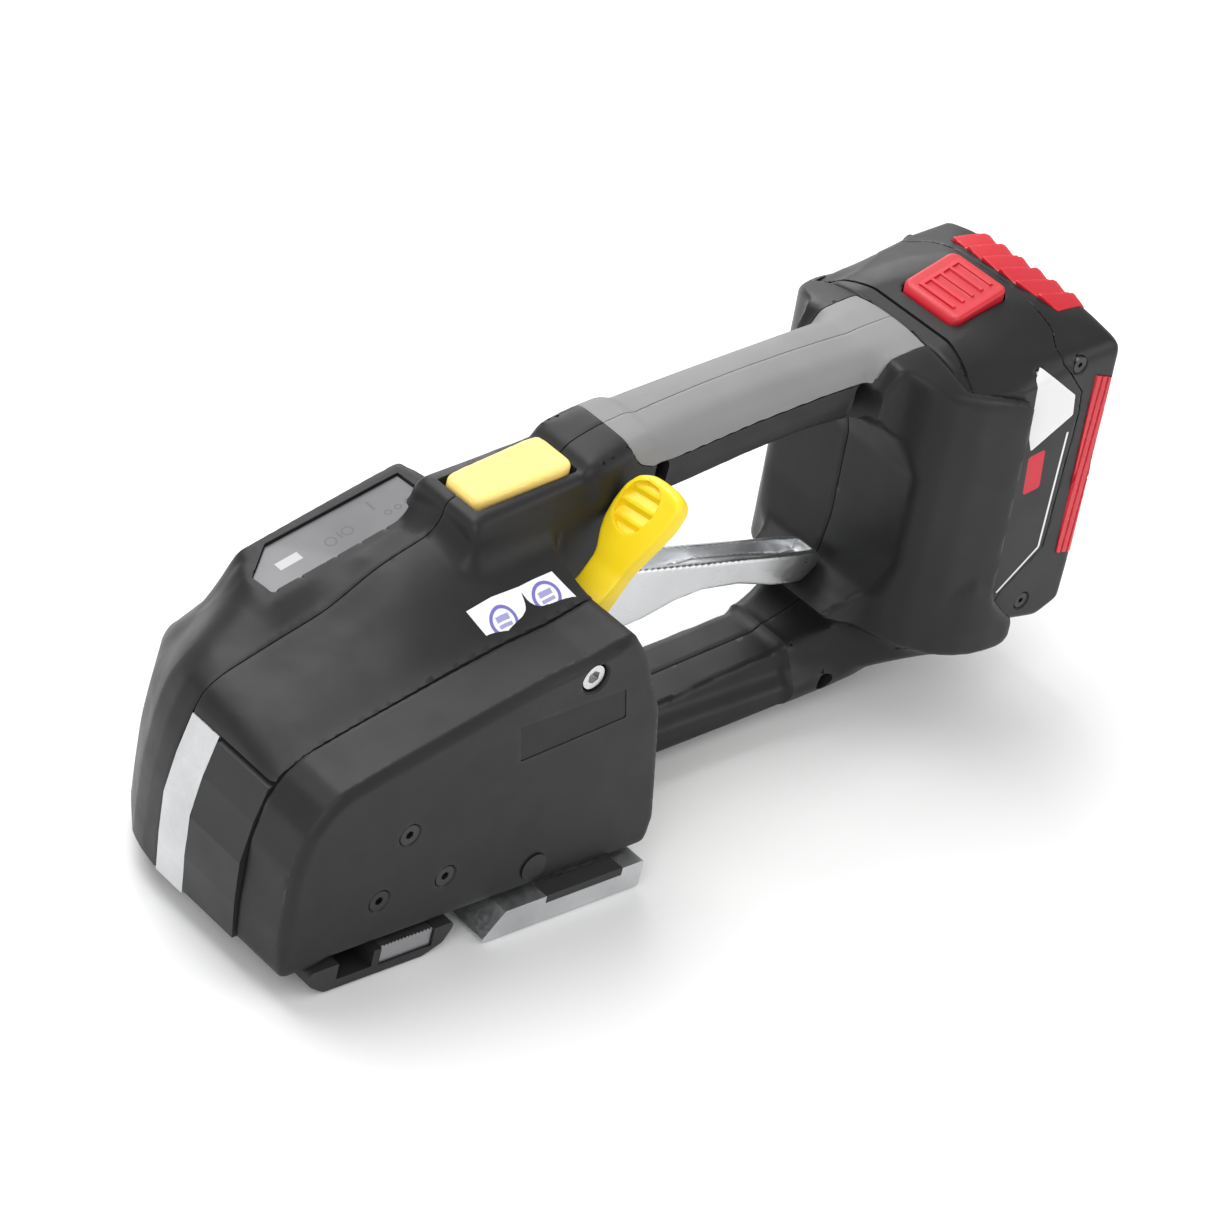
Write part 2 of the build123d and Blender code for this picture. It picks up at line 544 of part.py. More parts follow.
def housing_right():
    right = shell & box(-10, 320, SEAM, 90, -20, 150)
    right = cut(right, under_plate, rail_block_hole, flange_mouth, lever_slot, button_hole)
    for x, z in HOUSING_SCREWS:
        right = right + (cyl_y(x, z, 4.6, SEAM, 60.0) & outer)
    for x, z in HOUSING_SCREWS:
        right = right - cyl_y(x, z, 2.02, -1, 9.6)
    # Boss of the release lever pin
    right = right + (tube_y(*RELEASE_PIVOT, 6.5, RELEASE_PIN_R + 0.06, 9.2, 14.9)
                     & box(0, 300, 0, 60, 0, 200))
    return cut(right, display_recess, display_window, grip)


export_part("housing_left", housing_left())
export_part("housing_right", housing_right())
export_part("housing_screws",
            [screw((x, -6.0, z), ALONG_Y, HOUSING_SCREW) for x, z in HOUSING_SCREWS])

# Label that follows the roof just above its surface
label_zone = prism_z([(80.0, -35.6), (110.5, -35.6), (108.0, -24.6), (77.5, -24.6)], 70, 110)
export_part("info_label", (label_zone & head_loft.moved(Location((0, -0.06, 0.16)))) - outer)

# ---------------------------------------------------------------- side cover
COVER = [(3.0, 9.6), (1.6, 24.0), (1.3, 45.0), (4.0, 57.5), (8.5, 64.4), (14.5, 68.9),
         (30.7, 73.4), (47.4, 77.6), (64.4, 81.9), (81.7, 85.9), (98.0, 88.4), (108.5, 91.4),
         (113.4, 93.2), (120.0, 84.0), (130.6, 62.0), (135.0, 42.0), (139.6, 20.0),
         (138.4, COVER_BOTTOM), (20.0, COVER_BOTTOM), (15.0, 9.6)]
# Corner radii of the cover and of its raised face, one per outline point
COVER_RADII = [2.0, 0, 0, 0, 6.0, 6.0, 0, 0, 0, 0, 0, 0, 3.0, 4.0, 0, 0, 2.0, 1.5, 0, 0]
FACE_RADII = [2.0, 0, 0, 4, 8.0, 8.0, 0, 0, 0, 0, 0, 3.0, 3.0, 4.0, 0, 0, 2.0, 1.5, 0, 0]
NAME_PLATE = [(75.2, 73.0), (78.2, 60.2), (117.0, 63.4), (114.2, 74.2)]
COVER_WALL = 2.4


def side_cover():
    face = inset(COVER, [3.0] * 12 + [0.6] * 7 + [1.2])
    body = prism_y(COVER, COVER_LIP, COVER_IN, COVER_RADII)
    body = body + prism_y(face, COVER_OUT, COVER_LIP + 0.2, FACE_RADII)
    cavity = (prism_y(inset(COVER, COVER_WALL), COVER_LIP + COVER_WALL, COVER_IN + 1)
              + prism_y(inset(COVER, 6.5), COVER_OUT + COVER_WALL, COVER_LIP + 3))
    open_bottom = (box(5.6, 136.0, COVER_OUT + COVER_WALL, COVER_IN + 1, 0, 19.0)
                   - box(0, 16.0, -80, -20, 0, 11.2))
    cover = body - cavity - open_bottom
    for x, z in COVER_SCREWS:
        cover = cover + cyl_y(x, z, 4.6, COVER_OUT + 1, -53.2)
        cover = cut(cover, cyl_y(x, z, 3.5, -60, -54.4), cyl_y(x, z, 1.6, -60, -50))
    cover = cover + (cyl_y(*TOP_SCREW, 5.6, COVER_OUT + 1, COVER_IN) & body)
    cover = cut(cover, cyl_y(*TOP_SCREW, 4.6, -60, -52.0), cyl_y(*TOP_SCREW, 2.1, -60, -30))
    cover = cover + (cyl_y(*GUIDE_PIN, 6.0, COVER_OUT + 0.5, -54.0)
                     & box(0, 200, -60, 0, COVER_BOTTOM, 100))
    cover = cut(cover, cyl_y(*GUIDE_PIN, 2.5, -60, -50),
                cyl_y(*GUIDE_PIN, 4.6, -60, COVER_OUT + 0.8))
    return cover - prism_y(NAME_PLATE, COVER_OUT - 2, COVER_OUT + 0.9, 1.2)


export_part("side_cover", side_cover())
export_part("name_plate_blank",
            prism_y(inset(NAME_PLATE, 0.15), COVER_OUT + 0.2, COVER_OUT + 0.88, 1.0))
export_part("cover_screws",
            [screw((x, -54.45, z), ALONG_Y, COVER_SCREW) for x, z in COVER_SCREWS])
export_part("cover_top_screw",
            screw((TOP_SCREW[0], -52.02, TOP_SCREW[1]), ALONG_Y, COVER_TOP_SCREW))
export_part("guide_pin",
            cyl_y(*GUIDE_PIN, 2.48, -57.0, -36.7) + cyl_y(*GUIDE_PIN, 4.5, -57.6, -56.22))

# Disc segment between the tension wheel and the cover face
wheel_guard = cyl_y(46.7, 33.6, 19.0, -53.15, -51.9) & box(20, 80, -60, -40, 20.0, 60)
for x, z in COVER_SCREWS:
    wheel_guard = wheel_guard - cyl_y(x, z, 1.52, -60, -40)
export_part("wheel_guard", wheel_guard)

# ---------------------------------------------------------------- cast gear frame
MID_WALL = [(4.0, 11.6), (3.2, 24.0), (2.8, 37.0), (4.8, 50.0), (7.6, 60.0), (20.0, 65.0),
            (50.0, 70.0), (90.0, 70.0), (104.0, 52.0), (128.0, 44.0), (131.0, 9.6),
            (10.0, 9.6)]
MOTOR_WALL = [(46.0, 13.0), (46.0, 66.0), (60.0, 71.0), (84.0, 71.0), (96.0, 56.0),
              (122.0, 46.0), (124.0, 13.0)]
STRAP_WALL = [(88.0, 20.0), (88.0, 50.0), (98.0, 54.0), (120.0, 52.0), (128.0, 40.0),
              (128.0, 13.0), (96.0, 13.0)]
BLADE_X = (77.5, 79.5)


def gear_frame():
    mid_wall = prism_y(MID_WALL, *FRAME_MID_WALL)
    mid_wall = mid_wall - box(-5.0, 10.2, -40.0, -12.4, 0.0, 80.0)
    nose_block = prism_y(NOSE[:5] + [(9.0, 62.0), (9.0, 60.0), (8.6, 11.6), (9.0, 9.2)],
                         -12.6, -0.3)
    nose_block = (nose_block + box(8.0, 14.0, -12.6, -4.0, 12.0, 58.0)
                  + box(10.2, 14.0, -14.0, -4.0, 12.0, 58.0))
    toe = box(10.2, 76.0, -36.2, -12.5, 9.6, 11.3) + box(18.0, 76.0, -38.4, -36.0, 9.6, 11.3)
    frame = toe + mid_wall + prism_y(MOTOR_WALL, *FRAME_MOTOR_WALL) + nose_block
    frame = frame + box(74.0, 131.0, -38.6, 11.0, PLATE_TOP, 13.2)   # foot flange
    frame = frame + box(124.0, 128.0, -39.0, 2.0, 13.0, 34.0)        # rear web
    frame = frame + box(46.0, 50.0, -16.5, 2.0, 13.0, 64.0)          # front web
    frame = frame + box(52.0, 88.0, -16.5, 2.0, 66.6, 70.0)          # top web
    frame = frame + prism_y(STRAP_WALL, *FRAME_STRAP_WALL)
    # Openings round the motor axis, radius and y range
    for radius, y0, y1 in ((15.05, -12.4, -1.5), (9.0, -20, -11), (11.0, -2, 3)):
        frame = frame - cyl_y(*MOTOR, radius, y0, y1)
    # Bearing seats and pulley room round the eccentric shaft
    seat_r = BEARING_R + FIT
    for radius, y0, y1 in ((seat_r, -40, -35), (seat_r, -17, -12), (9.6, -11.9, -1.8),
                           (seat_r, -1.3, 2.5)):
        frame = frame - cyl_y(*SHAFT, radius, y0, y1)
    frame = frame - box(74.0, 124.0, LANE_OUT - 3, LANE_IN, 0, 60)
    frame = frame - cyl_y(*GUIDE_PIN, 2.5, -40, -30)
    for x, y in PLATE_SCREWS:
        frame = frame - cyl_z(x, y, 2.03, 5.0, 12.7)
    for x, y in SKID_SCREWS:
        frame = frame - cyl_z(x, y, 1.53, 5.0, 15.0)
    # Holder of the cutter blade
    holder = box(74.6, 82.4, -53.4, -39.2, 21.0, 34.0)
    holder = holder - box(BLADE_X[0] - 0.05, BLADE_X[1] + 0.05, -56, -40.4, 10, 31.6)
    holder = (holder + box(82.0, 89.0, *FRAME_STRAP_WALL, 21.0, 34.0)
              + box(74.6, 84.0, -40.4, -36.6, 21.0, 34.0))
    holder = holder - box(87.95, 95, -45, -30, 10, 40)
    return frame + holder


export_part("gear_frame", gear_frame())
blade_front, blade_rear = BLADE_X
export_part("cutter_blade", prism_y(
    [(blade_front, 31.5), (blade_rear, 31.5), (blade_rear, 13.4), (78.2, 12.2),
     (blade_front, 13.4)], -53.0, -40.5))

# ---------------------------------------------------------------- nose guard and skid
NOSE_GUARD = [(2.2, 9.6), (0.5, 22.4), (-0.4, 36.7), (1.7, 50.0), (4.8, 60.6), (9.6, 61.8),
              (9.6, 57.0), (5.4, 50.0), (3.4, 37.0), (3.9, 23.0), (5.4, 9.6)]
SKID = [(12.0, 9.0), (13.4, 4.2), (19.0, 0.3), (55.0, 0.0), (62.0, 2.6), (64.6, 7.0),
        (64.6, 9.0)]

guard_corner = prism_z([(-5.0, -12.0), (-5.0, -16.5), (0.2, -13.0), (0.6, -12.0)], 0, 80)
export_part("nose_guard", prism_y(NOSE_GUARD, -36.1, -12.9) - guard_corner)

skid = prism_y(SKID, -58.5, -40.2, [2, 3, 4, 4, 3, 2, 1])
skid = cut(skid, box(38.3, 57.7, -60.0, -41.0, 2.8, 12.0),     # seat of the tooth plate
           box(23.0, 35.6, -60.0, -44.0, 3.4, 12.0))
skid = skid + box(16.0, 62.0, -40.6, -22.0, 6.4, 9.55)         # mounting tongue
for x, y in SKID_SCREWS:
    skid = skid - cyl_z(x, y, 1.6, 0.0, 20.0)
export_part("front_skid", skid)

TOOTH_X, TOOTH_LENGTH, TOOTH_COUNT = 38.5, 19.0, 15
tooth_row = ridges(TOOTH_X, TOOTH_LENGTH / TOOTH_COUNT, TOOTH_COUNT, TOOTH_ROOT, TOOTH_TIP)
export_part("tooth_plate", prism_y(
    [(TOOTH_X, 3.0), (TOOTH_X, TOOTH_ROOT)] + tooth_row + [(TOOTH_X + TOOTH_LENGTH, 3.0)],
    -57.8, -41.2))

# ---------------------------------------------------------------- base plate
base = prism_y([(73.0, 0.0), (134.6, 0.0), (134.6, PLATE_TOP), (81.2, PLATE_TOP)],
               PLATE_NEAR, PLATE_FAR, [1.0, 0.8, 0.6, 1.0])
for x, y in PLATE_SCREWS:
    base = cut(base, cyl_z(x, y, 2.6, -1.0, 19.0), cyl_z(x, y, 4.3, -1.0, 4.2))
base = cut(base, box(85.8, 120.2, LANE_OUT - 0.2, LANE_IN - 0.1, 7.4, 12.0),
           box(96.8, 126.2, PLATE_NEAR - 1, -56.0, 6.6, 12.0))
export_part("base_plate", base)
export_part("plate_pad", box(97.0, 126.0, PLATE_NEAR + 0.1, -56.2, 6.62, PLATE_TOP + 0.1))
export_part("base_screws",
            [screw((x, y, 4.18), UP, BASE_SCREW) for x, y in PLATE_SCREWS],
            [screw((x, y, 6.35), UP, SKID_SCREW) for x, y in SKID_SCREWS])

# Ribbed jaws of the friction weld
RIB_PITCH, RIB_COUNT = 2.0, 17
RIBBED_LENGTH = RIB_PITCH * RIB_COUNT


def ribbed_jaw(x, back, root, tip, y0, y1):
    points = ([(x, back), (x, root)] + ridges(x, RIB_PITCH, RIB_COUNT, root, tip)
              + [(x + RIBBED_LENGTH, back)])
    return prism_y(points, y0, y1)


export_part("weld_anvil", ribbed_jaw(86.0, 7.4, 9.0, 9.35, LANE_OUT, LANE_IN - 0.2))
export_part("weld_shoe", ribbed_jaw(86.5, 12.68, 11.1, 10.7, -53.6, -40.2))

# ---------------------------------------------------------------- motor
can = (tube_y(*MOTOR, 17.0, 15.2, 2.05, 39.5) + tube_y(*MOTOR, 16.0, 6.0, 2.05, 5.05)
       + tube_y(*MOTOR, 16.0, 6.0, 36.5, 39.5))
can = can + (tube_y(*MOTOR, 10.95, 6.0, -1.0, 3.0) & box(0, 200, -1.0, 2.2, 0, 100))
export_part("motor_can", can)
export_part("motor_stator", tube_y(*MOTOR, 15.18, 11.6, 9.0, 33.0))
export_part("motor_rotor",
            cyl_y(*MOTOR, 11.2, 10.0, 32.0) + cyl_y(*MOTOR, ROTOR_SHAFT_R, -24.0, 40.0))
export_part("shaft_bearings",
            tube_y(*MOTOR, 5.98, ROTOR_SHAFT_R + FIT, -0.5, 3.5),
            tube_y(*MOTOR, 5.98, ROTOR_SHAFT_R + FIT, 36.5, 39.5),
            tube_y(*SHAFT, BEARING_R, SHAFT_R + FIT, *FRAME_STRAP_WALL),
            tube_y(*SHAFT, BEARING_R, SHAFT_R + FIT, *FRAME_MID_WALL),
            tube_y(*SHAFT, BEARING_R, SHAFT_R + FIT, -1.2, 1.6))

# ---------------------------------------------------------------- belt drive
MOTOR_PULLEY_R, MOTOR_PULLEY_TEETH = 9.0, 18
SHAFT_PULLEY_R, SHAFT_PULLEY_TEETH = 7.0, 14
PULLEY_FLANGE = 0.8


def pulley(center, radius, teeth, bore):
    """Toothed belt pulley between two flanges."""
    y0, y1 = PULLEYS
    step = 2 * math.pi / teeth
    points = []
    for k in range(teeth):
        # Corners of one tooth and gap: angle as a share of the step, radius
        for share, corner_r in ((-0.30, radius), (0.30, radius), (0.42, radius - 1.0),
                                (0.58, radius - 1.0)):
            points.append(polar(center, corner_r, (k + share) * step))
    body = (prism_y(points, y0 + PULLEY_FLANGE, y1 - PULLEY_FLANGE)
            + cyl_y(*center, radius + 1.6, y0, y0 + PULLEY_FLANGE)
            + cyl_y(*center, radius + 1.6, y1 - PULLEY_FLANGE, y1))
    return body - cyl_y(*center, bore, y0 - 1, y1 + 1)


def belt_loop(offset, y0, y1):
    """Solid inside a belt outline that runs round both pulleys at an offset."""
    motor_r, shaft_r = MOTOR_PULLEY_R + offset, SHAFT_PULLEY_R + offset
    dx, dz = SHAFT_X - MOTOR_X, SHAFT_Z - MOTOR_Z
    angle = math.atan2(dz, dx)
    off = math.acos((motor_r - shaft_r) / math.hypot(dx, dz))

    def at(center, radius, direction):
        x, z = polar(center, radius, direction)
        return Vector(x, y0, z)

    motor_top, shaft_top = at(MOTOR, motor_r, angle + off), at(SHAFT, shaft_r, angle + off)
    motor_low, shaft_low = at(MOTOR, motor_r, angle - off), at(SHAFT, shaft_r, angle - off)
    wire = Wire([
        Edge.make_line(motor_top, shaft_top),
        Edge.make_three_point_arc(shaft_top, at(SHAFT, shaft_r, angle), shaft_low),
        Edge.make_line(shaft_low, motor_low),
        Edge.make_three_point_arc(motor_low, at(MOTOR, motor_r, angle + math.pi), motor_top)])
    return Solid.extrude(Face(wire), Vector(0, y1 - y0, 0))


export_part("motor_pulley", pulley(MOTOR, MOTOR_PULLEY_R, MOTOR_PULLEY_TEETH, ROTOR_SHAFT_R))
export_part("eccentric_pulley", pulley(SHAFT, SHAFT_PULLEY_R, SHAFT_PULLEY_TEETH, SHAFT_R))
export_part("drive_belt", belt_loop(1.3, -9.8, -4.0) - belt_loop(0.08, -12.0, -2.0))

# ---------------------------------------------------------------- tensioning drive
gearhead = cyl_y(*MOTOR, 11.2, -22.2, -17.3) + cyl_y(*MOTOR, 8.95, -17.4, -12.6)
export_part("gearhead", gearhead - cyl_y(*MOTOR, 3.0, -24.4, -10.0))

# A pinion tooth points at the wheel axis.
drive = gear(MOTOR, PINION_TEETH, -36.1, -31.6, 180.0 + ROCKER_ANGLE)
drive = drive + cyl_y(*MOTOR, 4.0, -39.1, -25.2)
# Hub that the rocker turns on, then the output cup that runs round the gearhead
drive = drive + cyl_y(*MOTOR, 9.0, -31.6, -26.8) + cyl_y(*MOTOR, 14.5, -26.9, -16.9)
drive = cut(drive, cyl_y(*MOTOR, 11.5, -22.5, -10.0), cyl_y(*MOTOR, 3.0, -24.4, -10.0))
export_part("drive_pinion", drive)


def drill_ring(body, ring_r, hole_r, phase, y0, y1):
    """Six holes round the wheel axis."""
    for k in range(6):
        hole = polar(WHEEL, ring_r, math.radians(60 * k + phase))
        body = body - cyl_y(*hole, hole_r, y0, y1)
    return body


wheel_gear = gear(WHEEL, WHEEL_TEETH, -35.9, -31.8, ROCKER_ANGLE + 180.0 / WHEEL_TEETH)
wheel_gear = wheel_gear - cyl_y(*WHEEL, WHEEL_SHAFT_R, -36.9, -30.8)
export_part("wheel_gear", drill_ring(wheel_gear, 12.4, 3.2, 20, -40, -28))
export_part("wheel_shaft",
            cyl_y(*WHEEL, WHEEL_SHAFT_R, -51.5, -27.6) + cyl_y(*WHEEL, 6.2, -40.3, -39.6))

WHEEL_NOTCHES, NOTCH_DEPTH = 60, 0.9
wheel_points = []
for k in range(WHEEL_NOTCHES):
    angle = 2 * math.pi * k / WHEEL_NOTCHES
    wheel_points += [polar(WHEEL, WHEEL_R, angle),
                     polar(WHEEL, WHEEL_R - NOTCH_DEPTH, angle + math.pi / WHEEL_NOTCHES)]
tension_wheel = drill_ring(prism_y(wheel_points, *TENSION_WHEEL), 13.0, 3.0, 10, -54, -38)
face_recess = cyl_y(*WHEEL, 19.0, -52, -49.6) - cyl_y(*WHEEL, 8.0, -53, -49)
export_part("tension_wheel",
            cut(tension_wheel, cyl_y(*WHEEL, WHEEL_SHAFT_R, -54, -38), face_recess))


def rocker_block(front, bottom, y0, y1):
    """Block above the pivot, from front and bottom offsets to a common rear and top."""
    return box(MOTOR_X + front, MOTOR_X + 6.0, y0, y1, MOTOR_Z + bottom, MOTOR_Z + 17.0)


# Arm that runs rearwards under the nose of the release lever
ROCKER_TAIL = [(MOTOR_X - 4, MOTOR_Z - 8), (MOTOR_X - 4, 58.3), (105.6, 58.3), (107.4, 55.0),
               (104.0, 51.0), (86.0, 44.0)]
rocker = (link(MOTOR, 14.0, WHEEL, 11.5, *ROCKER_INNER)
          + prism_y(ROCKER_TAIL, *ROCKER_INNER, [0, 0, 1.5, 2, 3, 0])
          + link(MOTOR, 9.0, WHEEL, 11.5, *ROCKER_OUTER)
          + rocker_block(-12.4, 13.2, ROCKER_OUTER[0], ROCKER_INNER[1])   # bridge
          + rocker_block(-12.4, 1.0, *ROCKER_INNER)
          + rocker_block(-8.0, 1.0, *ROCKER_OUTER))
export_part("rocker_arm", cut(
    rocker, cyl_y(*MOTOR, 9.05, -31.5, -27.5), cyl_y(*MOTOR, 4.05, -40, -36),
    cyl_y(*WHEEL, BEARING_R, -41, -27)))
export_part("wheel_bearings",
            tube_y(*WHEEL, 7.98, WHEEL_SHAFT_R + FIT, *ROCKER_INNER),
            tube_y(*WHEEL, 7.98, WHEEL_SHAFT_R + FIT, *ROCKER_OUTER))
export_part("rocker_spring", coil((95.0, -29.55, 13.85), 3.6, 0.6, 31.4, 8))

# ---------------------------------------------------------------- friction welding drive
eccentric = cyl_y(*SHAFT, SHAFT_R, -39.6, 9.2) + cyl_y(*JOURNAL, 4.5, -50.0, -39.6)
fly_recess = cyl_y(*SHAFT, 12.2, 5.6, 12.0) - cyl_y(*SHAFT, 6.4, 5.0, 12.0)
flywheel = cyl_y(*SHAFT, 15.5, 2.4, 9.2) - fly_recess
eccentric = eccentric + flywheel + cyl_y(*SHAFT, 12.3, 5.5, 7.0)
counterweight = (cyl_y(*SHAFT, 8.6, -26.0, -19.0)
                 & box(90, 130, -40, 0, SHAFT_Z - 12, SHAFT_Z - 0.5))
export_part("eccentric_shaft", eccentric + counterweight)

WELD_ARM_FOOT = [(86.0, 12.7), (86.0, 22.0), (96.0, 25.0), (98.0, 36.0), (120.0, 36.0),
                 (121.0, 24.0), (121.0, 12.7)]
weld_arm = cyl_y(*JOURNAL, 11.5, *WELD_ARM) + prism_y(WELD_ARM_FOOT, *WELD_ARM)
weld_arm = weld_arm - cyl_y(*JOURNAL, 8.0, -55, -35)
pin_x, pin_z = GUIDE_PIN
SLOT_R, SLOT_REACH = 2.55, 1.0     # slot that slides along X on the guide pin
pin_slot = (box(pin_x - SLOT_REACH, pin_x + SLOT_REACH, -60, -30, pin_z - SLOT_R, pin_z + SLOT_R)
            + cyl_y(pin_x - SLOT_REACH, pin_z, SLOT_R, -60, -30)
            + cyl_y(pin_x + SLOT_REACH, pin_z, SLOT_R, -60, -30))
export_part("weld_arm", weld_arm - pin_slot)
export_part("weld_bush", tube_y(*JOURNAL, 8.0, 4.55, -50.4, -41.2))

# ---------------------------------------------------------------- tensioning-release lever
LEVER = [(124.0, 74.6), (150.0, 70.6), (246.0, 50.9), (249.4, 48.2), (248.6, 44.6),
         (241.0, 41.0), (228.0, 44.0), (212.0, 49.4), (196.0, 51.9), (184.0, 50.6),
         (172.0, 47.4), (160.0, 46.6), (146.0, 48.0), (124.0, 53.2)]
LEVER_RADII = [0, 0, 3, 3, 3, 6, 0, 0, 0, 0, 8, 8, 0, 0]
LEVER_TROUGH = [(150.0, 72.0), (150.0, 59.0), (176.0, 57.4), (200.0, 55.6), (226.0, 49.6),
                (238.0, 46.6), (246.2, 47.4), (246.4, 53.0)]
LEVER_PLAN = mirror_v([(120.0, -6.0), (200.0, -6.0), (238.0, -5.4), (250.0, -4.0)])
LEVER_BELOW = [(124.0, 66.0), (140.0, 72.2), (260.0, 80.0), (260.0, 0.0), (124.0, 0.0)]
pivot_x, pivot_z = RELEASE_PIVOT

lever = prism_y(LEVER, -6.0, 6.0, LEVER_RADII)
lever = lever - prism_y(LEVER_TROUGH, -4.2, 4.2, [0, 3, 0, 0, 0, 3, 2, 0])
lever = lever & prism_z(LEVER_PLAN, 0, 100)
lever = lever & (prism_y(LEVER_BELOW, -20, 20) + cyl_y(*RELEASE_PIVOT, 7.0, -10, 10))
lever = lever + cyl_y(*RELEASE_PIVOT, 7.0, -32.4, 8.0)
lever = lever + link((pivot_x, pivot_z + 2.4), 4.4, (pivot_x - NOSE_ARM, pivot_z + 2.0), 3.5,
                     -31.2, -27.9)
export_part("release_lever", lever - cyl_y(*RELEASE_PIVOT, RELEASE_PIN_R + FIT, -40, 12))

# ---------------------------------------------------------------- weld lever
WELD_STEM = [(107.0, 78.4), (114.6, 71.8), (121.0, 76.0), (127.6, 84.6), (135.4, 99.0),
             (131.6, 101.2), (122.6, 88.6), (116.0, 82.4)]
WELD_PADDLE = [(127.4, 93.4), (130.9, 91.2), (145.0, 115.6), (144.6, 119.4), (141.4, 119.8),
               (136.0, 110.0)]
# y, z of the paddle seen along X
PADDLE_FRONT = [(-34.0, 88.0), (-38.0, 97.0), (-38.0, 114.0), (-34.0, 121.0), (-21.0, 121.0),
                (-17.6, 114.0), (-17.6, 97.0), (-21.0, 88.0)]

stem = prism_y(WELD_STEM, -34.0, -21.0, [2, 2, 3, 4, 0, 0, 4, 3])
paddle = prism_y(WELD_PADDLE, -38.0, -17.6, [0, 0, 2, 1.6, 1.6, 0])
paddle_front = prism_x(PADDLE_FRONT, 100, 160, [0, 4, 3, 0, 0, 3, 4, 0])
weld_lever = cyl_y(*WELD_PIVOT, 5.2, -34.0, -21.0) + stem + (paddle & paddle_front)
for k in range(3):
    share = 0.42 + 0.19 * k      # place of the rib along the front of the paddle
    weld_lever = weld_lever + cyl_y(127.8 + 14.0 * share, 93.4 + 26.4 * share, 1.1,
                                    -34.6, -21.0)
export_part("weld_lever", weld_lever - cyl_y(*WELD_PIVOT, WELD_PIN_R + FIT, -40, -10))
export_part("lever_pins", cyl_y(*RELEASE_PIVOT, RELEASE_PIN_R, -36.0, 14.4),
            cyl_y(*WELD_PIVOT, WELD_PIN_R, -36.1, -18.1))

# ---------------------------------------------------------------- tension button
BUTTON = [(89.7, 105.5), (89.7, 111.4), (91.0, 112.7), (124.4, 117.1), (125.7, 116.4),
          (125.7, 105.5)]
BUTTON_PLAN = mirror_v([(89.7, -6.9), (92.0, -7.6), (123.0, -8.4), (125.7, -7.4)])

button = prism_y(BUTTON, -8.4, 8.4, [0, 1.0, 1.0, 1.0, 1.0, 0])
button = button & prism_z(BUTTON_PLAN, 90, 130, 1.0)
export_part("tension_button", button + box(89.2, 126.2, -9.4, 9.4, 105.5, 107.2))
export_part("button_spring", coil((101.0, 0.0, 98.15), 3.2, 0.45, 6.7, 4.5))
export_part("switch_board", box(93.0, 126.0, -10.0, 10.0, 96.0, 97.6)
            + box(110.0, 120.0, -3.0, 3.0, 97.6, 102.6))

# ---------------------------------------------------------------- board and cables in the beam
export_part("control_board", prism_y(
    [(152.0, 8.6), (232.0, 12.2), (232.0, 13.8), (152.0, 10.2)], -10.5, 10.5))

CABLE_PATH = [(260.5, 30.5), (256.5, 23.8), (247.0, 18.8), (226.0, 16.3), (200.0, 14.3),
              (180.0, 13.4)]
cables = []
for y in (-2.8, 0.0, 2.8):
    path = Spline(*[(x, y, z) for x, z in CABLE_PATH])
    cables.append(sweep(Plane(origin=path @ 0, z_dir=path % 0) * Circle(0.9), path=path))
export_part("battery_cables", cables)

# ---------------------------------------------------------------- battery (pitched frame)
BATTERY = [(268.0, 6.4), (307.0, 5.4), (320.0, 2.2), (331.0, 8.0), (331.2, 22.0),
           (329.2, 92.0), (330.6, 104.0), (326.6, 110.6), (315.0, 113.2), (304.6, 114.6),
           (281.0, 109.4), (268.0, 108.6)]
BATTERY_IN = [(277.0, 7.8), (318.0, 7.8), (327.4, 12.0), (328.4, 22.0), (326.6, 92.0),
              (326.6, 101.0), (277.0, 101.0)]
BATTERY_SECTION = mirror_u([(-BATTERY_HALF, 0.0), (-BATTERY_HALF, 104.0), (-36.0, 108.0),
                            (-22.0, 112.4), (-14.0, 118.0)])
BATTERY_PLAN = mirror_v([(267.0, -BATTERY_HALF), (325.0, -BATTERY_HALF), (332.0, -34.0)])
SIDE_BUMPER = [(317.6, 24.0), (327.6, 22.0), (326.4, 92.0), (316.6, 92.0)]
BATTERY_LABEL = [(295.6, 82.0), (303.6, 84.0), (308.4, 96.4), (305.4, 103.2), (295.6, 101.0)]
BATTERY_SCREWS = [(312.0, 101.6), (311.0, 12.0)]
CONTACT_Y = (-14.0, -6.0, 6.0, 14.0)
SIDES = (-1, 1)


def battery_shell():
    body = (prism_y(BATTERY, -50, 50, [2, 0, 2, 3, 0, 0, 3, 3, 0, 2, 0, 2])
            & prism_x(BATTERY_SECTION, 260, 340) & prism_z(BATTERY_PLAN, -5, 130))
    body = body - prism_y(BATTERY_IN, -36.6, 36.6)
    # Channel with undercut flanks for the rail block
    body = cut(body, box(260.0, 274.7, -17.8, 17.8, -5.0, 96.0),
               box(270.0, 274.7, -24.8, 24.8, -5.0, 96.0))
    for y in CONTACT_Y:
        body = body - box(274.0, 278.7, y - 0.8, y + 0.8, -5.0, 34.0)
    body = cut(body, box(280.4, 304.9, -12.9, 12.9, 104.0, 125.0),    # release button
               box(308.6, 329.0, -23.2, 23.2, 108.4, 125.0),          # top bumper
               prism_y(SIDE_BUMPER, -45.0, -38.2) + prism_y(SIDE_BUMPER, 38.2, 45.0))
    for x, z in BATTERY_SCREWS:
        for side in SIDES:
            body = body + cyl_y(x, z, 4.2, side * 34.0, side * BATTERY_HALF)
            body = body - cyl_y(x, z, 2.9, side * 36.9, side * 42.0)
            body = body - cyl_y(x, z, 1.25, side * 34.6, side * 38.0)
    for side in SIDES:
        body = body - prism_y(BATTERY_LABEL, *span(side, BATTERY_HALF - 0.3, 40.0))
    return body


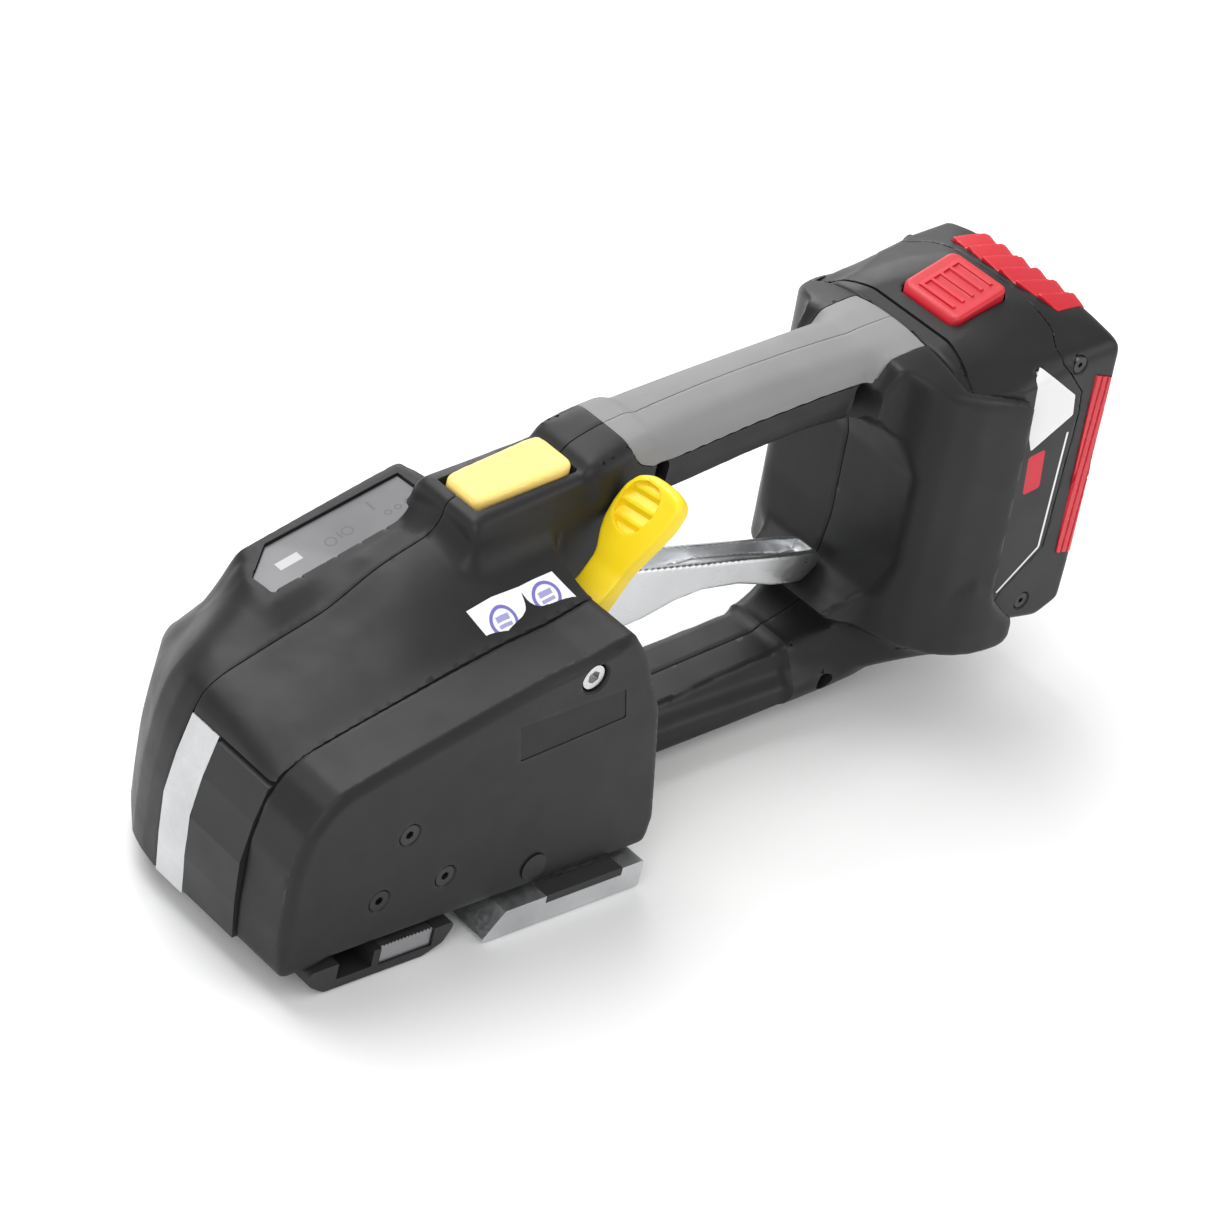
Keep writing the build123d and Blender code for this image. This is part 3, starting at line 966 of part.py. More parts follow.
battery = battery_shell()
export_part("battery_shell_front",
            tilt(battery & box(200.0, BATTERY_SPLIT - SEAM, -60, 60, -10, 140)))
export_part("battery_shell_rear",
            tilt(battery & box(BATTERY_SPLIT + SEAM, 400.0, -60, 60, -10, 140)))
export_part("battery_label", [
    tilt(prism_y(inset(BATTERY_LABEL, 0.1),
                 *span(side, BATTERY_HALF - 0.28, BATTERY_HALF - 0.02)))
    for side in SIDES])

# Top bumper with six falling steps
bumper_points = [(308.8, 108.45), (308.8, 113.6)]
for k in range(6):
    x, z = 308.8 + 3.3 * k, 114.8 - 0.55 * k
    bumper_points += [(x + 0.3, z), (x + 2.1, z - 0.3), (x + 2.5, z - 1.5), (x + 3.3, z - 1.6)]
bumper_points = bumper_points[:-1] + [(328.6, 109.4), (328.6, 108.45)]
export_part("battery_top_bumper", tilt(prism_y(bumper_points, -23.0, 23.0)))


def side_bumper(side):
    """Strip with three upright ribs."""
    bumper = prism_y(inset(SIDE_BUMPER, 0.12), *span(side, 38.25, 38.9))
    for k in range(3):
        shift = 0.8 + 3.1 * k
        rib = [(317.6 + shift, 25.0), (319.4 + shift, 24.8), (318.3 + shift, 91.2),
               (316.6 + shift, 91.2)]
        bumper = bumper + prism_y(rib, *span(side, 38.25, 39.6))
    return tilt(bumper)


export_part("battery_side_bumpers", [side_bumper(side) for side in SIDES])

release_button = prism_y([(281.0, 107.2), (281.0, 109.9), (283.6, 112.2), (302.6, 117.0),
                          (304.4, 116.2), (304.4, 107.2)], -12.4, 12.4, [0, 1, 1, 1, 1, 0])
for k in range(4):
    release_button = release_button + cyl_y(286.4 + 4.2 * k, 112.6 + 1.06 * k, 0.9, -7.5, 7.5)
export_part("battery_release_button", tilt(release_button))

battery_screws = []
for x, z in BATTERY_SCREWS:
    battery_screws += [tilt(screw((x, -37.0, z), ALONG_Y, BATTERY_SCREW)),
                       tilt(screw((x, 36.95, z), AGAINST_Y, BATTERY_SCREW))]
export_part("battery_screws", battery_screws)

# Two columns of five cells lying along Y
export_part("battery_cells", [
    tilt(cyl_y(291.2 + 18.5 * column, 17.2 + 18.45 * row, 9.1, -32.5, 32.5))
    for column in range(2) for row in range(5)])

# Rail block on the foot, with the contacts that enter the battery
export_part("battery_rail_block", tilt(box(262.0, 264.4, -25.0, 25.0, 16.0, 92.0)
                                       + box(264.0, 274.2, -17.2, 17.2, 12.0, 92.0)
                                       + box(270.4, 274.2, -24.2, 24.2, 12.0, 92.0)))
export_part("battery_contacts", [
    tilt(box(274.22, 278.3, y - 0.4, y + 0.4, 14.0, 30.0)) for y in CONTACT_Y])
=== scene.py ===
"""A hand-held battery strapping tool, standing on its base.

x runs from the nose back to the battery, y from the left side (negative, with the side
cover) to the right, z up. Shapes are worked out in millimetres, with x = 0 near the nose;
the scene is in metres, with its origin at x = ORIGIN_X. The handle, foot and battery lie
in a frame tilted about y: there the coordinates are called along and up.

Each piece is a field, negative inside, whose zero surface is meshed. Fields are built
from outlines; a name ending in _side is an outline in x and z (along and up for the
handle, foot and battery), _plan in x and y, _section in y and z.
"""
import json
import math
from functools import reduce

import bpy
import numpy as np
from mathutils import Matrix, Vector


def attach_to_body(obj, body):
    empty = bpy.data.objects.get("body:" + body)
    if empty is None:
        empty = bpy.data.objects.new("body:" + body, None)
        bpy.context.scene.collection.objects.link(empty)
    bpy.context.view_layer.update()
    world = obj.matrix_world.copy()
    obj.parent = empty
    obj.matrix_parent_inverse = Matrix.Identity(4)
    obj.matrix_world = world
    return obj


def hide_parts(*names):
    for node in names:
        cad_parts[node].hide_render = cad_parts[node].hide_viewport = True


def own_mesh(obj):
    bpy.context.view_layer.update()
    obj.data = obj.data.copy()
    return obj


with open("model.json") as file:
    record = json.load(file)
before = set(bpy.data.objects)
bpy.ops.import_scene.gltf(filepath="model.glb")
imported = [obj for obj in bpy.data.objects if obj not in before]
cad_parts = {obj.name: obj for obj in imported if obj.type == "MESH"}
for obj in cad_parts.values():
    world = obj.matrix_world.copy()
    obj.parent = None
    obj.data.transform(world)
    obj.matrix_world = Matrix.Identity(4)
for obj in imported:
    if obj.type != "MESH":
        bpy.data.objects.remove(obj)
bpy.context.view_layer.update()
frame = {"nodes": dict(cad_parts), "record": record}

ORIGIN_X = 104.0  # working x of the scene origin
TILT = math.radians(4.5)
TILT_COS, TILT_SIN = math.cos(TILT), math.sin(TILT)
GRID_STEP = 0.5  # sample spacing of all lookup grids
OUTLINE_MARGIN = 30.0  # how far an outline's grid reaches beyond it

LEFT, RIGHT = -36.2, 50.0  # side faces of the head
OUTSIDE = -60.0  # a y to the left of the whole tool
WALL = 2.6
SPLIT_GAP = 0.11  # from y = 0 to each housing half
COVER_FACE = -57.0
nodes = frame["nodes"]


# ---------------------------------------------------------------- lookup grids


def smoothstep(t):
    t = np.clip(t, 0, 1)
    return t * t * (3 - 2 * t)


def blur(grid, sigma):
    """Gaussian blur; sigma is in samples."""
    reach = int(math.ceil(3 * sigma))
    kernel = np.exp(-0.5 * (np.arange(-reach, reach + 1) / sigma) ** 2)
    kernel /= kernel.sum()
    for axis in (0, 1):
        pad = [(0, 0), (0, 0)]
        pad[axis] = (reach, reach)
        padded = np.pad(grid, pad, mode="edge")
        total = np.zeros_like(grid)
        for i, weight in enumerate(kernel):
            window = [slice(None), slice(None)]
            window[axis] = slice(i, i + grid.shape[axis])
            total += weight * padded[tuple(window)]
        grid = total
    return grid


class Grid:
    """Bilinear lookup of samples GRID_STEP apart, starting at (first, second)."""

    def __init__(self, first, second, samples):
        self.first, self.second, self.samples = first, second, samples

    def __call__(self, first, second):
        d = self.samples
        s = np.clip((first - self.first) / GRID_STEP, 0, d.shape[0] - 1.001)
        t = np.clip((second - self.second) / GRID_STEP, 0, d.shape[1] - 1.001)
        i, j = s.astype(np.int32), t.astype(np.int32)
        s, t = s - i, t - j
        near = d[i, j] * (1 - s) + d[i + 1, j] * s
        far = d[i, j + 1] * (1 - s) + d[i + 1, j + 1] * s
        return near * (1 - t) + far * t


def polygon_distance(first, second, points):
    """Signed distance to a closed polygon, negative inside."""
    nearest = np.full(first.shape, 1e18)
    sign = np.ones(first.shape)
    for (ax, ay), (bx, by) in zip(points, np.roll(points, -1, axis=0)):
        edge_x, edge_y = bx - ax, by - ay
        to_x, to_y = first - ax, second - ay
        length2 = edge_x * edge_x + edge_y * edge_y + 1e-12
        t = np.clip((to_x * edge_x + to_y * edge_y) / length2, 0, 1)
        off_x, off_y = to_x - edge_x * t, to_y - edge_y * t
        nearest = np.minimum(nearest, off_x * off_x + off_y * off_y)
        above, below = second >= ay, second < by
        left = edge_x * to_y > edge_y * to_x
        sign = np.where((above == below) & (below == left), -sign, sign)
    return sign * np.sqrt(nearest)


def outline(points, soften=0.0):
    """Distance to an outline, its corners softened by a blur (mm)."""
    points = np.array(points, float)
    low, high = points.min(0) - OUTLINE_MARGIN, points.max(0) + OUTLINE_MARGIN
    count = np.ceil((high - low) / GRID_STEP).astype(int) + 1
    axes = [low[k] + GRID_STEP * np.arange(count[k]) for k in range(2)]
    distance = polygon_distance(*np.meshgrid(*axes, indexing="ij"), points)
    if soften:
        distance = blur(distance, soften / GRID_STEP)
    return Grid(low[0], low[1], distance)


def section(half, soften, top=()):
    """Outline mirrored in its first coordinate, with optional middle points."""
    return outline(half + list(top) + [(-u, v) for u, v in reversed(half)], soften)


def even_plan(half, soften):
    """Outline mirrored in its second coordinate."""
    return outline(half + [(u, -v) for u, v in reversed(half)], soften)


# ---------------------------------------------------------------- fields


def both(a, b, radius=0.0):
    """Intersection, rounded by a radius."""
    if radius <= 0:
        return np.maximum(a, b)
    rounding = np.sqrt(np.maximum(a + radius, 0) ** 2 + np.maximum(b + radius, 0) ** 2)
    return np.minimum(np.maximum(a, b), -radius) + rounding


def join(a, b, radius=0.0):
    return -both(-a, -b, radius)


def cut(a, b, radius=0.0):
    return both(a, -b, radius)


def slab(value, low, high):
    return np.maximum(low - value, value - high)


def box(x, y, z, x_range, y_range, z_range, radius=0.0):
    rod_of_box = both(slab(x, *x_range), slab(y, *y_range), radius)
    return both(rod_of_box, slab(z, *z_range), radius)


def from_axis(x, z, centre):
    """Distance from an axis that runs along y."""
    return np.hypot(x - centre[0], z - centre[1])


def rod(x, y, z, centre, radius, y_range, rounding=0.0):
    return both(from_axis(x, z, centre) - radius, slab(y, *y_range), rounding)


def from_nearest(value, period):
    """Distance from the nearest multiple of the period."""
    turns = value / period
    return np.abs(turns - np.round(turns)) * period


def tilt(x, z):
    return x * TILT_COS + z * TILT_SIN, -x * TILT_SIN + z * TILT_COS


def untilt(along, up):
    return along * TILT_COS - up * TILT_SIN, along * TILT_SIN + up * TILT_COS


def tilted(field):
    """A field given in the tilted frame, for use in the upright one."""

    def upright(x, y, z):
        along, up = tilt(x, z)
        return field(along, y, up)

    return upright


# ---------------------------------------------------------------- meshing
SAMPLES_AT_ONCE = 1_200_000
SKIN = 0.05  # least field value on the faces of the meshing box
ROOT_STEPS = 4
NORMAL_REACH = 0.06
MASS_PULL = 0.06  # holds each vertex to the mean of its crossings
NEW_SHARP_ANGLE, CAD_SHARP_ANGLE = 32.0, 30.0


def shade(mesh, sharp_angle):
    mesh.polygons.foreach_set("use_smooth", np.full(len(mesh.polygons), True))
    mesh.set_sharp_from_angle(angle=math.radians(sharp_angle))


def add_object(mesh):
    shade(mesh, NEW_SHARP_ANGLE)
    new = bpy.data.objects.new(mesh.name, mesh)
    bpy.context.scene.collection.objects.link(new)
    return new


def quad_object(name, points, quads):
    """Object from working millimetres."""
    mesh = bpy.data.meshes.new(name)
    metres = (points - np.array([ORIGIN_X, 0, 0])) * 0.001
    mesh.vertices.add(len(metres))
    mesh.vertices.foreach_set("co", metres.astype(np.float32).ravel())
    mesh.loops.add(quads.size)
    mesh.loops.foreach_set("vertex_index", quads.astype(np.int32).ravel())
    mesh.polygons.add(len(quads))
    mesh.polygons.foreach_set("loop_start", np.arange(0, quads.size, 4, dtype=np.int32))
    mesh.polygons.foreach_set("loop_total", np.full(len(quads), 4, np.int32))
    mesh.update(calc_edges=True)
    mesh.validate()
    return add_object(mesh)


def sample(field, axes):
    """Field values on the grid, positive on the box faces so the surface closes."""
    values = np.empty([len(axis) for axis in axes])
    step = max(1, int(SAMPLES_AT_ONCE / (len(axes[1]) * len(axes[2]))))
    for i in range(0, len(axes[0]), step):
        block = np.meshgrid(axes[0][i : i + step], axes[1], axes[2], indexing="ij")
        values[i : i + step] = field(*block)
    values[np.abs(values) < 1e-7] = 1e-7
    for axis in range(3):
        face = [slice(None)] * 3
        for end in (0, -1):
            face[axis] = end
            values[tuple(face)] = np.maximum(values[tuple(face)], SKIN)
    return values


def crossings(field, axes, values, axis, cell):
    """Grid edges along one axis that meet the surface.

    Returns each edge's grid index and start value, the crossing point and its normal.
    """
    first, last = [slice(None)] * 3, [slice(None)] * 3
    first[axis], last[axis] = slice(0, -1), slice(1, None)
    first, last = values[tuple(first)], values[tuple(last)]
    crossed = (first < 0) != (last < 0)
    index = np.argwhere(crossed)
    start, end = first[crossed], last[crossed]
    origin = np.stack([axes[k][index[:, k]] for k in range(3)], 1)
    step = np.zeros(3)
    step[axis] = cell
    low, high = np.zeros(len(index)), np.ones(len(index))
    at_low, at_high = start, end
    for _ in range(ROOT_STEPS):
        t = np.clip(low + (high - low) * at_low / (at_low - at_high), 0, 1)
        point = origin + t[:, None] * step
        value = field(*point.T)
        same = np.sign(value) == np.sign(at_low)
        low, at_low = np.where(same, t, low), np.where(same, value, at_low)
        high, at_high = np.where(same, high, t), np.where(same, at_high, value)
        # keep the two ends apart and of opposite sign
        at_high = np.where(np.abs(at_low - at_high) < 1e-12, at_low + 1e-9, at_high)
        at_high = np.where(np.sign(at_high) == np.sign(at_low), -at_low, at_high)
    shifts = NORMAL_REACH * np.eye(3)
    normal = np.stack([field(*(point + s).T) - field(*(point - s).T) for s in shifts], 1)
    normal /= np.linalg.norm(normal, axis=1)[:, None] + 1e-12
    keep = np.ones(len(index), bool)
    for k in range(3):
        if k != axis:
            keep &= (index[:, k] > 0) & (index[:, k] < len(axes[k]) - 1)
    return index[keep], start[keep], point[keep], normal[keep]


def contour(name, field, low, high, cell):
    """Dual contouring: one vertex per crossed cell, one quad per crossed edge."""
    low = np.array(low, float)
    count = np.ceil((np.array(high, float) - low) / cell).astype(int) + 1
    axes = [low[k] + cell * np.arange(count[k]) for k in range(3)]
    values = sample(field, axes)
    cells = tuple(count - 1)
    total = int(np.prod(cells))
    stride = np.array([cells[1] * cells[2], cells[2], 1])
    sums = np.zeros((4, total))  # crossings in each cell, and the sum of their points
    planes, quads = [], []
    for axis in range(3):
        index, start, point, normal = crossings(field, axes, values, axis, cell)
        side, other = [stride[k] for k in range(3) if k != axis]
        base = index @ stride
        ring = [base, base - side, base - side - other, base - other]
        for corner in ring:
            sums += [np.bincount(corner, w, total) for w in (None, *point.T)]
        planes.append((ring, normal, (normal * point).sum(1)))
        quad = np.stack(ring, 1)
        forward = (start < 0) != (axis == 1)
        quads.append(np.where(forward[:, None], quad, quad[:, ::-1]))
    used = np.nonzero(sums[0] > 0)[0]
    size = len(used)
    mean = sums[1:, used].T / sums[0][used][:, None]
    vertex = np.full(total, -1, np.int64)
    vertex[used] = np.arange(size)
    # least-squares meeting point of the tangent planes in each cell
    matrix, right = np.zeros((size, 3, 3)), np.zeros((size, 3))
    for ring, normal, offset in planes:
        for corner in ring:
            j = vertex[corner]
            gap = offset - (normal * mean[j]).sum(1)
            for p in range(3):
                right[:, p] += np.bincount(j, normal[:, p] * gap, size)
                for q in range(p, 3):
                    matrix[:, p, q] += np.bincount(j, normal[:, p] * normal[:, q], size)
                    matrix[:, q, p] = matrix[:, p, q]
    matrix += np.eye(3) * MASS_PULL
    move = np.linalg.solve(matrix, right[:, :, None])[:, :, 0]
    points = np.clip(move, -0.9 * cell, 0.9 * cell) + mean
    corner = low + np.stack(np.unravel_index(used, cells), 1) * cell
    points = np.clip(points, corner - 0.05 * cell, corner + 1.05 * cell)
    return quad_object(name, points, vertex[np.concatenate(quads)])


# ---------------------------------------------------------------- head of the housing
nose_side = outline([
    (2.4, -20.0), (2.4, 8.3), (0.9, 22.4), (0.0, 36.7), (2.1, 50.0), (5.3, 62.0), (8.4, 69.6),
    (12.8, 74.6), (24.0, 92.0), (50.0, 160.0), (200.0, 160.0), (200.0, -20.0)], 2.2)
head_plan = outline([
    (-1.0, -90.0), (-1.0, -10.0), (-0.2, 0.0), (3.4, 15.0), (14.0, 31.0), (34.0, RIGHT),
    (34.0, 90.0), (190.0, 90.0), (190.0, -90.0)], 3.0)
head_rear_side = outline([
    (114.0, 92.8), (131.0, 62.0), (134.6, 40.0), (138.0, 16.0), (138.0, -40.0),
    (-60.0, -40.0), (-60.0, 150.0), (114.0, 150.0)], 1.5)

# Roof heights z: x, then z at y = LEFT, -24, -12, 0, 41 and RIGHT.
ROOF_STATIONS = np.array([
    (-3.0, 62.0, 66.0, 68.0, 69.0, 48.0, 36.0),
    (8.4, 63.0, 67.0, 69.0, 70.0, 50.0, 38.0),
    (14.2, 68.3, 71.0, 72.2, 72.6, 52.0, 40.0),
    (31.0, 73.0, 75.6, 77.2, 78.0, 58.0, 47.0),
    (36.5, 74.4, 77.0, 79.0, 79.8, 60.0, 50.0),
    (48.0, 77.3, 80.4, 82.6, 83.5, 66.0, 56.0),
    (64.0, 81.4, 87.0, 92.0, 94.8, 72.0, 61.0),
    (86.0, 86.3, 93.4, 99.6, 103.0, 77.0, 64.0),
    (96.0, 87.4, 94.0, 100.4, 103.6, 78.0, 65.0),
    (101.0, 88.6, 95.0, 101.0, 104.0, 77.0, 64.0),
    (114.0, 92.6, 96.5, 101.5, 104.5, 75.0, 62.0),
    (140.0, 92.6, 96.5, 101.5, 104.5, 70.0, 56.0),
])
# Roof profiles (x, z) between y = 0 and y = 41, keyed by y.
ROOF_PROFILES = {
    10.0: [(-3.0, 66.0), (8.4, 69.6), (14.2, 73.0), (24.0, 77.4), (34.4, 83.4), (48.0, 87.3),
           (64.0, 92.0), (86.0, 98.5), (92.0, 101.0), (96.0, 102.0), (101.0, 100.2),
           (140.0, 100.2)],
    16.0: [(-3.0, 62.0), (8.4, 66.5), (14.2, 71.4), (24.0, 77.0), (34.4, 83.8), (48.0, 87.7),
           (64.0, 92.3), (86.0, 98.7), (94.0, 101.0), (98.0, 101.0), (102.0, 98.0),
           (140.0, 98.0)],
    22.0: [(-3.0, 54.0), (8.4, 60.0), (14.2, 65.0), (24.0, 72.6), (35.6, 83.9), (48.0, 87.7),
           (64.0, 92.3), (86.0, 98.7), (97.0, 101.6), (99.5, 101.0), (104.0, 92.0),
           (140.0, 90.0)],
    27.0: [(-3.0, 47.0), (8.4, 53.5), (14.2, 58.5), (24.0, 67.0), (31.0, 74.5), (38.0, 84.7),
           (48.0, 87.7), (64.0, 92.3), (86.0, 98.7), (97.0, 101.6), (99.5, 100.0),
           (104.0, 89.0), (140.0, 87.0)],
    32.6: [(-3.0, 40.0), (8.4, 46.0), (14.2, 50.5), (24.0, 58.5), (32.0, 66.0), (41.2, 85.6),
           (48.0, 87.6), (64.0, 92.3), (86.0, 98.7), (96.0, 101.4), (99.0, 98.0),
           (103.0, 84.0), (140.0, 82.0)],
}


def roof_grids():
    """Roof height, and the cosine of its slope, which turns height into distance."""
    xs = np.arange(-20.0, 160.1, GRID_STEP)
    ys = np.arange(-60.0, 70.1, GRID_STEP)
    station_x = ROOF_STATIONS[:, 0]
    stations = [np.interp(xs, station_x, heights) for heights in ROOF_STATIONS.T[1:]]
    middle = [np.interp(xs, *np.array(points).T) for points in ROOF_PROFILES.values()]
    profiles = np.stack(stations[:4] + middle + stations[4:], 1)
    places = [LEFT, -24.0, -12.0, 0.0, *ROOF_PROFILES, 41.0, RIGHT]
    height = np.stack([np.interp(ys, places, profile) for profile in profiles], 0)
    # soft on the left and at the nose, crisp on the right behind the nose
    crisp_share = smoothstep((ys + 1.0) / 6.0)[None, :]
    crisp_share = crisp_share * np.clip((xs - 31.0) / 5.0, 0, 1)[:, None]
    height = blur(height, 8.0) * (1 - crisp_share) + blur(height, 1.6) * crisp_share
    slope_x, slope_y = np.gradient(blur(height, 4), GRID_STEP)
    cosine = 1 / np.sqrt(1 + slope_x**2 + slope_y**2)
    return Grid(xs[0], ys[0], height), Grid(xs[0], ys[0], cosine)


roof_height, roof_cosine = roof_grids()
# How far back the nose lies, across the head.
NOSE_SWEEP_Y = [-60.0, 0.0, 8.0, 16.0, 31.0, 50.0, 70.0]
NOSE_SWEEP_X = [0.0, 0.0, 0.8, 3.2, 13.5, 32.0, 52.0]


def head(x, y, z):
    roof = (z - roof_height(x, y)) * roof_cosine(x, y)
    sweep = np.interp(y, NOSE_SWEEP_Y, NOSE_SWEEP_X)
    nose = nose_side(x - sweep, z) * np.interp(y, [6.0, 18.0], [1.0, 0.86])
    shape = both(roof, both(nose, 8.8 - z), 3.0)
    shape = both(shape, head_plan(x, y), 3.0)
    shape = both(shape, head_rear_side(x, z), 1.5)
    shape = both(shape, y - RIGHT, 4.0)
    # the right face leans in below z = 22
    return both(shape, (y - RIGHT - (z - 22.0) * 0.55) * 0.87, 3.0)


# ---------------------------------------------------------------- neck, handle, beam, foot
neck_side = outline([
    (84.9, 99.0), (85.2, 109.6), (87.4, 111.2), (127.1, 115.4), (129.5, 117.2),
    (133.8, 118.7), (140.0, 120.9), (150.0, 122.6), (156.0, 104.0), (150.5, 98.0),
    (148.0, 84.0), (148.0, 20.0), (150.0, 9.0), (120.0, 9.5), (100.0, 9.5), (96.0, 60.0)], 1.2)
neck_section = section([(-15.0, -10.0), (-15.0, 106.0), (-12.8, 111.5), (-11.0, 135.0)], 1.6)
handle_side = outline([
    (138.0, 107.0), (144.0, 108.6), (151.0, 109.4), (170.0, 111.4), (190.0, 112.8),
    (206.0, 113.2), (225.0, 112.6), (245.0, 111.2), (262.0, 109.6), (272.5, 108.8),
    (272.5, 84.0), (252.0, 84.6), (240.0, 89.0), (222.0, 91.0), (200.0, 90.4),
    (176.0, 88.2), (160.0, 87.2), (152.0, 84.0), (144.0, 88.0), (138.0, 92.0)], 2.0)
handle_section = section([
    (-9.0, 80.0), (-12.6, 88.0), (-14.6, 98.0), (-13.6, 106.0), (-8.6, 112.0)],
    1.8, top=[(0.0, 113.8)])
beam_side = outline([
    (134.0, 17.2), (150.0, 17.0), (185.5, 18.0), (226.3, 21.6), (247.3, 23.8), (262.0, 27.0),
    (262.0, 8.2), (246.0, 6.4), (210.0, 4.6), (180.0, 3.4), (150.0, 4.6), (134.0, 9.0)], 1.0)
beam_section = section([
    (-11.0, 34.0), (-12.0, 20.0), (-13.5, 15.5), (-18.5, 11.5), (-18.5, 1.0)], 1.0)
foot_side = outline([
    (243.0, 94.0), (252.0, 109.4), (262.0, 110.8), (267.6, 110.6), (267.6, 104.0),
    (273.0, 102.6), (291.4, 95.6), (292.0, 20.0), (301.0, 8.0), (301.5, 0.6), (288.0, 2.0),
    (272.0, 5.6), (248.0, 15.0), (240.0, 18.6), (248.0, 21.6), (255.0, 27.0), (257.6, 40.0),
    (257.6, 72.0), (254.0, 84.0), (247.0, 91.0)], 1.2)
foot_plan = even_plan([
    (238.0, -18.0), (253.0, -22.0), (257.0, -30.0), (262.0, -35.4), (272.0, -39.2),
    (292.0, -43.1), (380.0, -43.2)], 1.5)
foot_section = section([
    (-43.5, -33.0), (-43.5, 92.0), (-42.0, 97.0), (-36.0, 103.4), (-28.0, 107.0),
    (-16.0, 110.2)], 2.5, top=[(0.0, 112.0)])
# The flared underside of the foot: x, then four pairs of half width and z, bottom first.
KEEL = np.array([
    (236.0, 15.0, 5.9, 18.5, 10.0, 12.5, 20.0, 10.5, 22.6),
    (252.0, 16.0, 6.9, 21.0, 14.0, 18.0, 24.0, 17.0, 30.0),
    (262.0, 17.0, 8.6, 27.0, 18.0, 28.0, 30.0, 25.0, 45.0),
    (280.0, 20.0, 13.5, 36.0, 22.0, 41.0, 34.0, 41.0, 50.0),
    (300.5, 26.0, 21.0, 40.0, 24.2, 43.0, 30.0, 43.0, 34.0),
])


def keel_grid():
    xs = np.arange(220.0, 320.1, GRID_STEP)
    zs = np.arange(-20.0, 90.1, GRID_STEP)
    columns = np.stack([np.interp(xs, KEEL[:, 0], column) for column in KEEL.T[1:]], 1)
    rows = []
    for row in columns:
        widths, heights = row[0::2], row[1::2]
        # one more point below the bottom, to draw the width in
        rows.append(np.interp(zs, [heights[0] - 6.0, *heights], [widths[0] - 26.0, *widths]))
    return Grid(xs[0], zs[0], blur(np.array(rows), 4))


keel_half_width = keel_grid()


def neck(x, y, z):
    return both(neck_side(x, z), neck_section(y, z), 2.5)


@tilted
def handle(along, y, up):
    return both(handle_side(along, up), handle_section(y, up), 3.0)


def beam(x, y, z):
    return both(beam_side(x, z), beam_section(y, z), 1.5)


@tilted
def foot(along, y, up):
    shape = both(foot_side(along, up), foot_plan(along, y), 1.5)
    return both(shape, foot_section(y, up), 2.0)


def keel(x, y, z):
    bottom = np.interp(x, KEEL[:, 0], KEEL[:, 2])
    top = np.interp(x, KEEL[:, 0], KEEL[:, 8])
    shape = both((np.abs(y) - keel_half_width(x, z)) * 0.75, slab(z, bottom, top), 1.0)
    shape = both(shape, slab(x, 236.0, 300.4))
    plan = foot_plan(tilt(x, z)[0], y) - 0.6
    return both(shape, np.where(x > 250.0, plan, -20.0), 1.5)


# Parts added to the head, each with its fillet.
BODY_PARTS = [(neck, 6.0), (handle, 5.0), (beam, 3.0), (foot, 5.0), (keel, 6.0)]


def body(x, y, z):
    """Solid outside shape of the housing."""
    shape = head(x, y, z)
    for part, fillet in BODY_PARTS:
        shape = join(shape, part(x, y, z), fillet)
    return shape


# ---------------------------------------------------------------- hollow housing halves
cover_bay_side = outline([
    (7.5, 4.0), (7.5, 60.5), (16.0, 66.0), (60.0, 76.5), (100.0, 84.0), (110.0, 84.0),
    (126.0, 58.0), (130.0, 38.0), (132.0, 4.0)], 1.0)
weld_slot_side = outline([
    (104.0, 66.0), (104.0, 84.0), (113.5, 86.0), (115.0, 104.0), (140.0, 104.0),
    (140.0, 69.0), (118.0, 66.0)], 0.6)
lever_way_side = outline([(112.0, 47.0), (146.0, 47.0), (146.0, 78.0), (112.0, 78.0)], 0.5)
nose_window_side = outline([(-6.0, -10.0), (-6.0, 62.3), (10.2, 62.3), (10.2, -10.0)])
film_plan = outline([(38.2, 12.6), (37.6, 21.0), (48.0, 29.6), (93.0, 28.6), (94.0, 12.6)], 0.2)
grip_side = outline([
    (150.0, 150.0), (150.0, 116.0), (151.2, 108.0), (153.6, 104.0), (159.0, 101.8),
    (170.0, 101.2), (200.0, 102.6), (230.0, 102.8), (262.0, 101.4), (266.4, 101.4),
    (266.4, 150.0)], 1.2)
# Screw axes (x, z): two low in the beam, two in the handle.
HOUSING_SCREWS = [(247.0, 11.2), (141.5, 24.0), untilt(243.5, 99.5), untilt(163.0, 99.5)]
HANDLE_SCREW_Z = 90.0  # screws above this are in the handle
LEFT_POST, RIGHT_POST, LEFT_BORE = 5.4, 4.6, 3.1  # radii
# Boxes cut from both halves: ranges of x, y and z, and edge radius.
SHELL_CUTS = [
    ((71.5, 136.5), (-70.0, 12.4), (-10.0, 9.5), 0.0),  # underside of the head
    ((73.2, 131.8), (-3.0, 11.4), (-10.0, 13.6), 0.0),  # deeper step within it
    ((140.0, 160.0), (-7.4, 7.4), (44.0, 80.0), 0.0),  # squeeze lever, behind the head
    ((89.2, 126.2), (-8.9, 8.9), (95.0, 140.0), 0.8),  # button on top
]


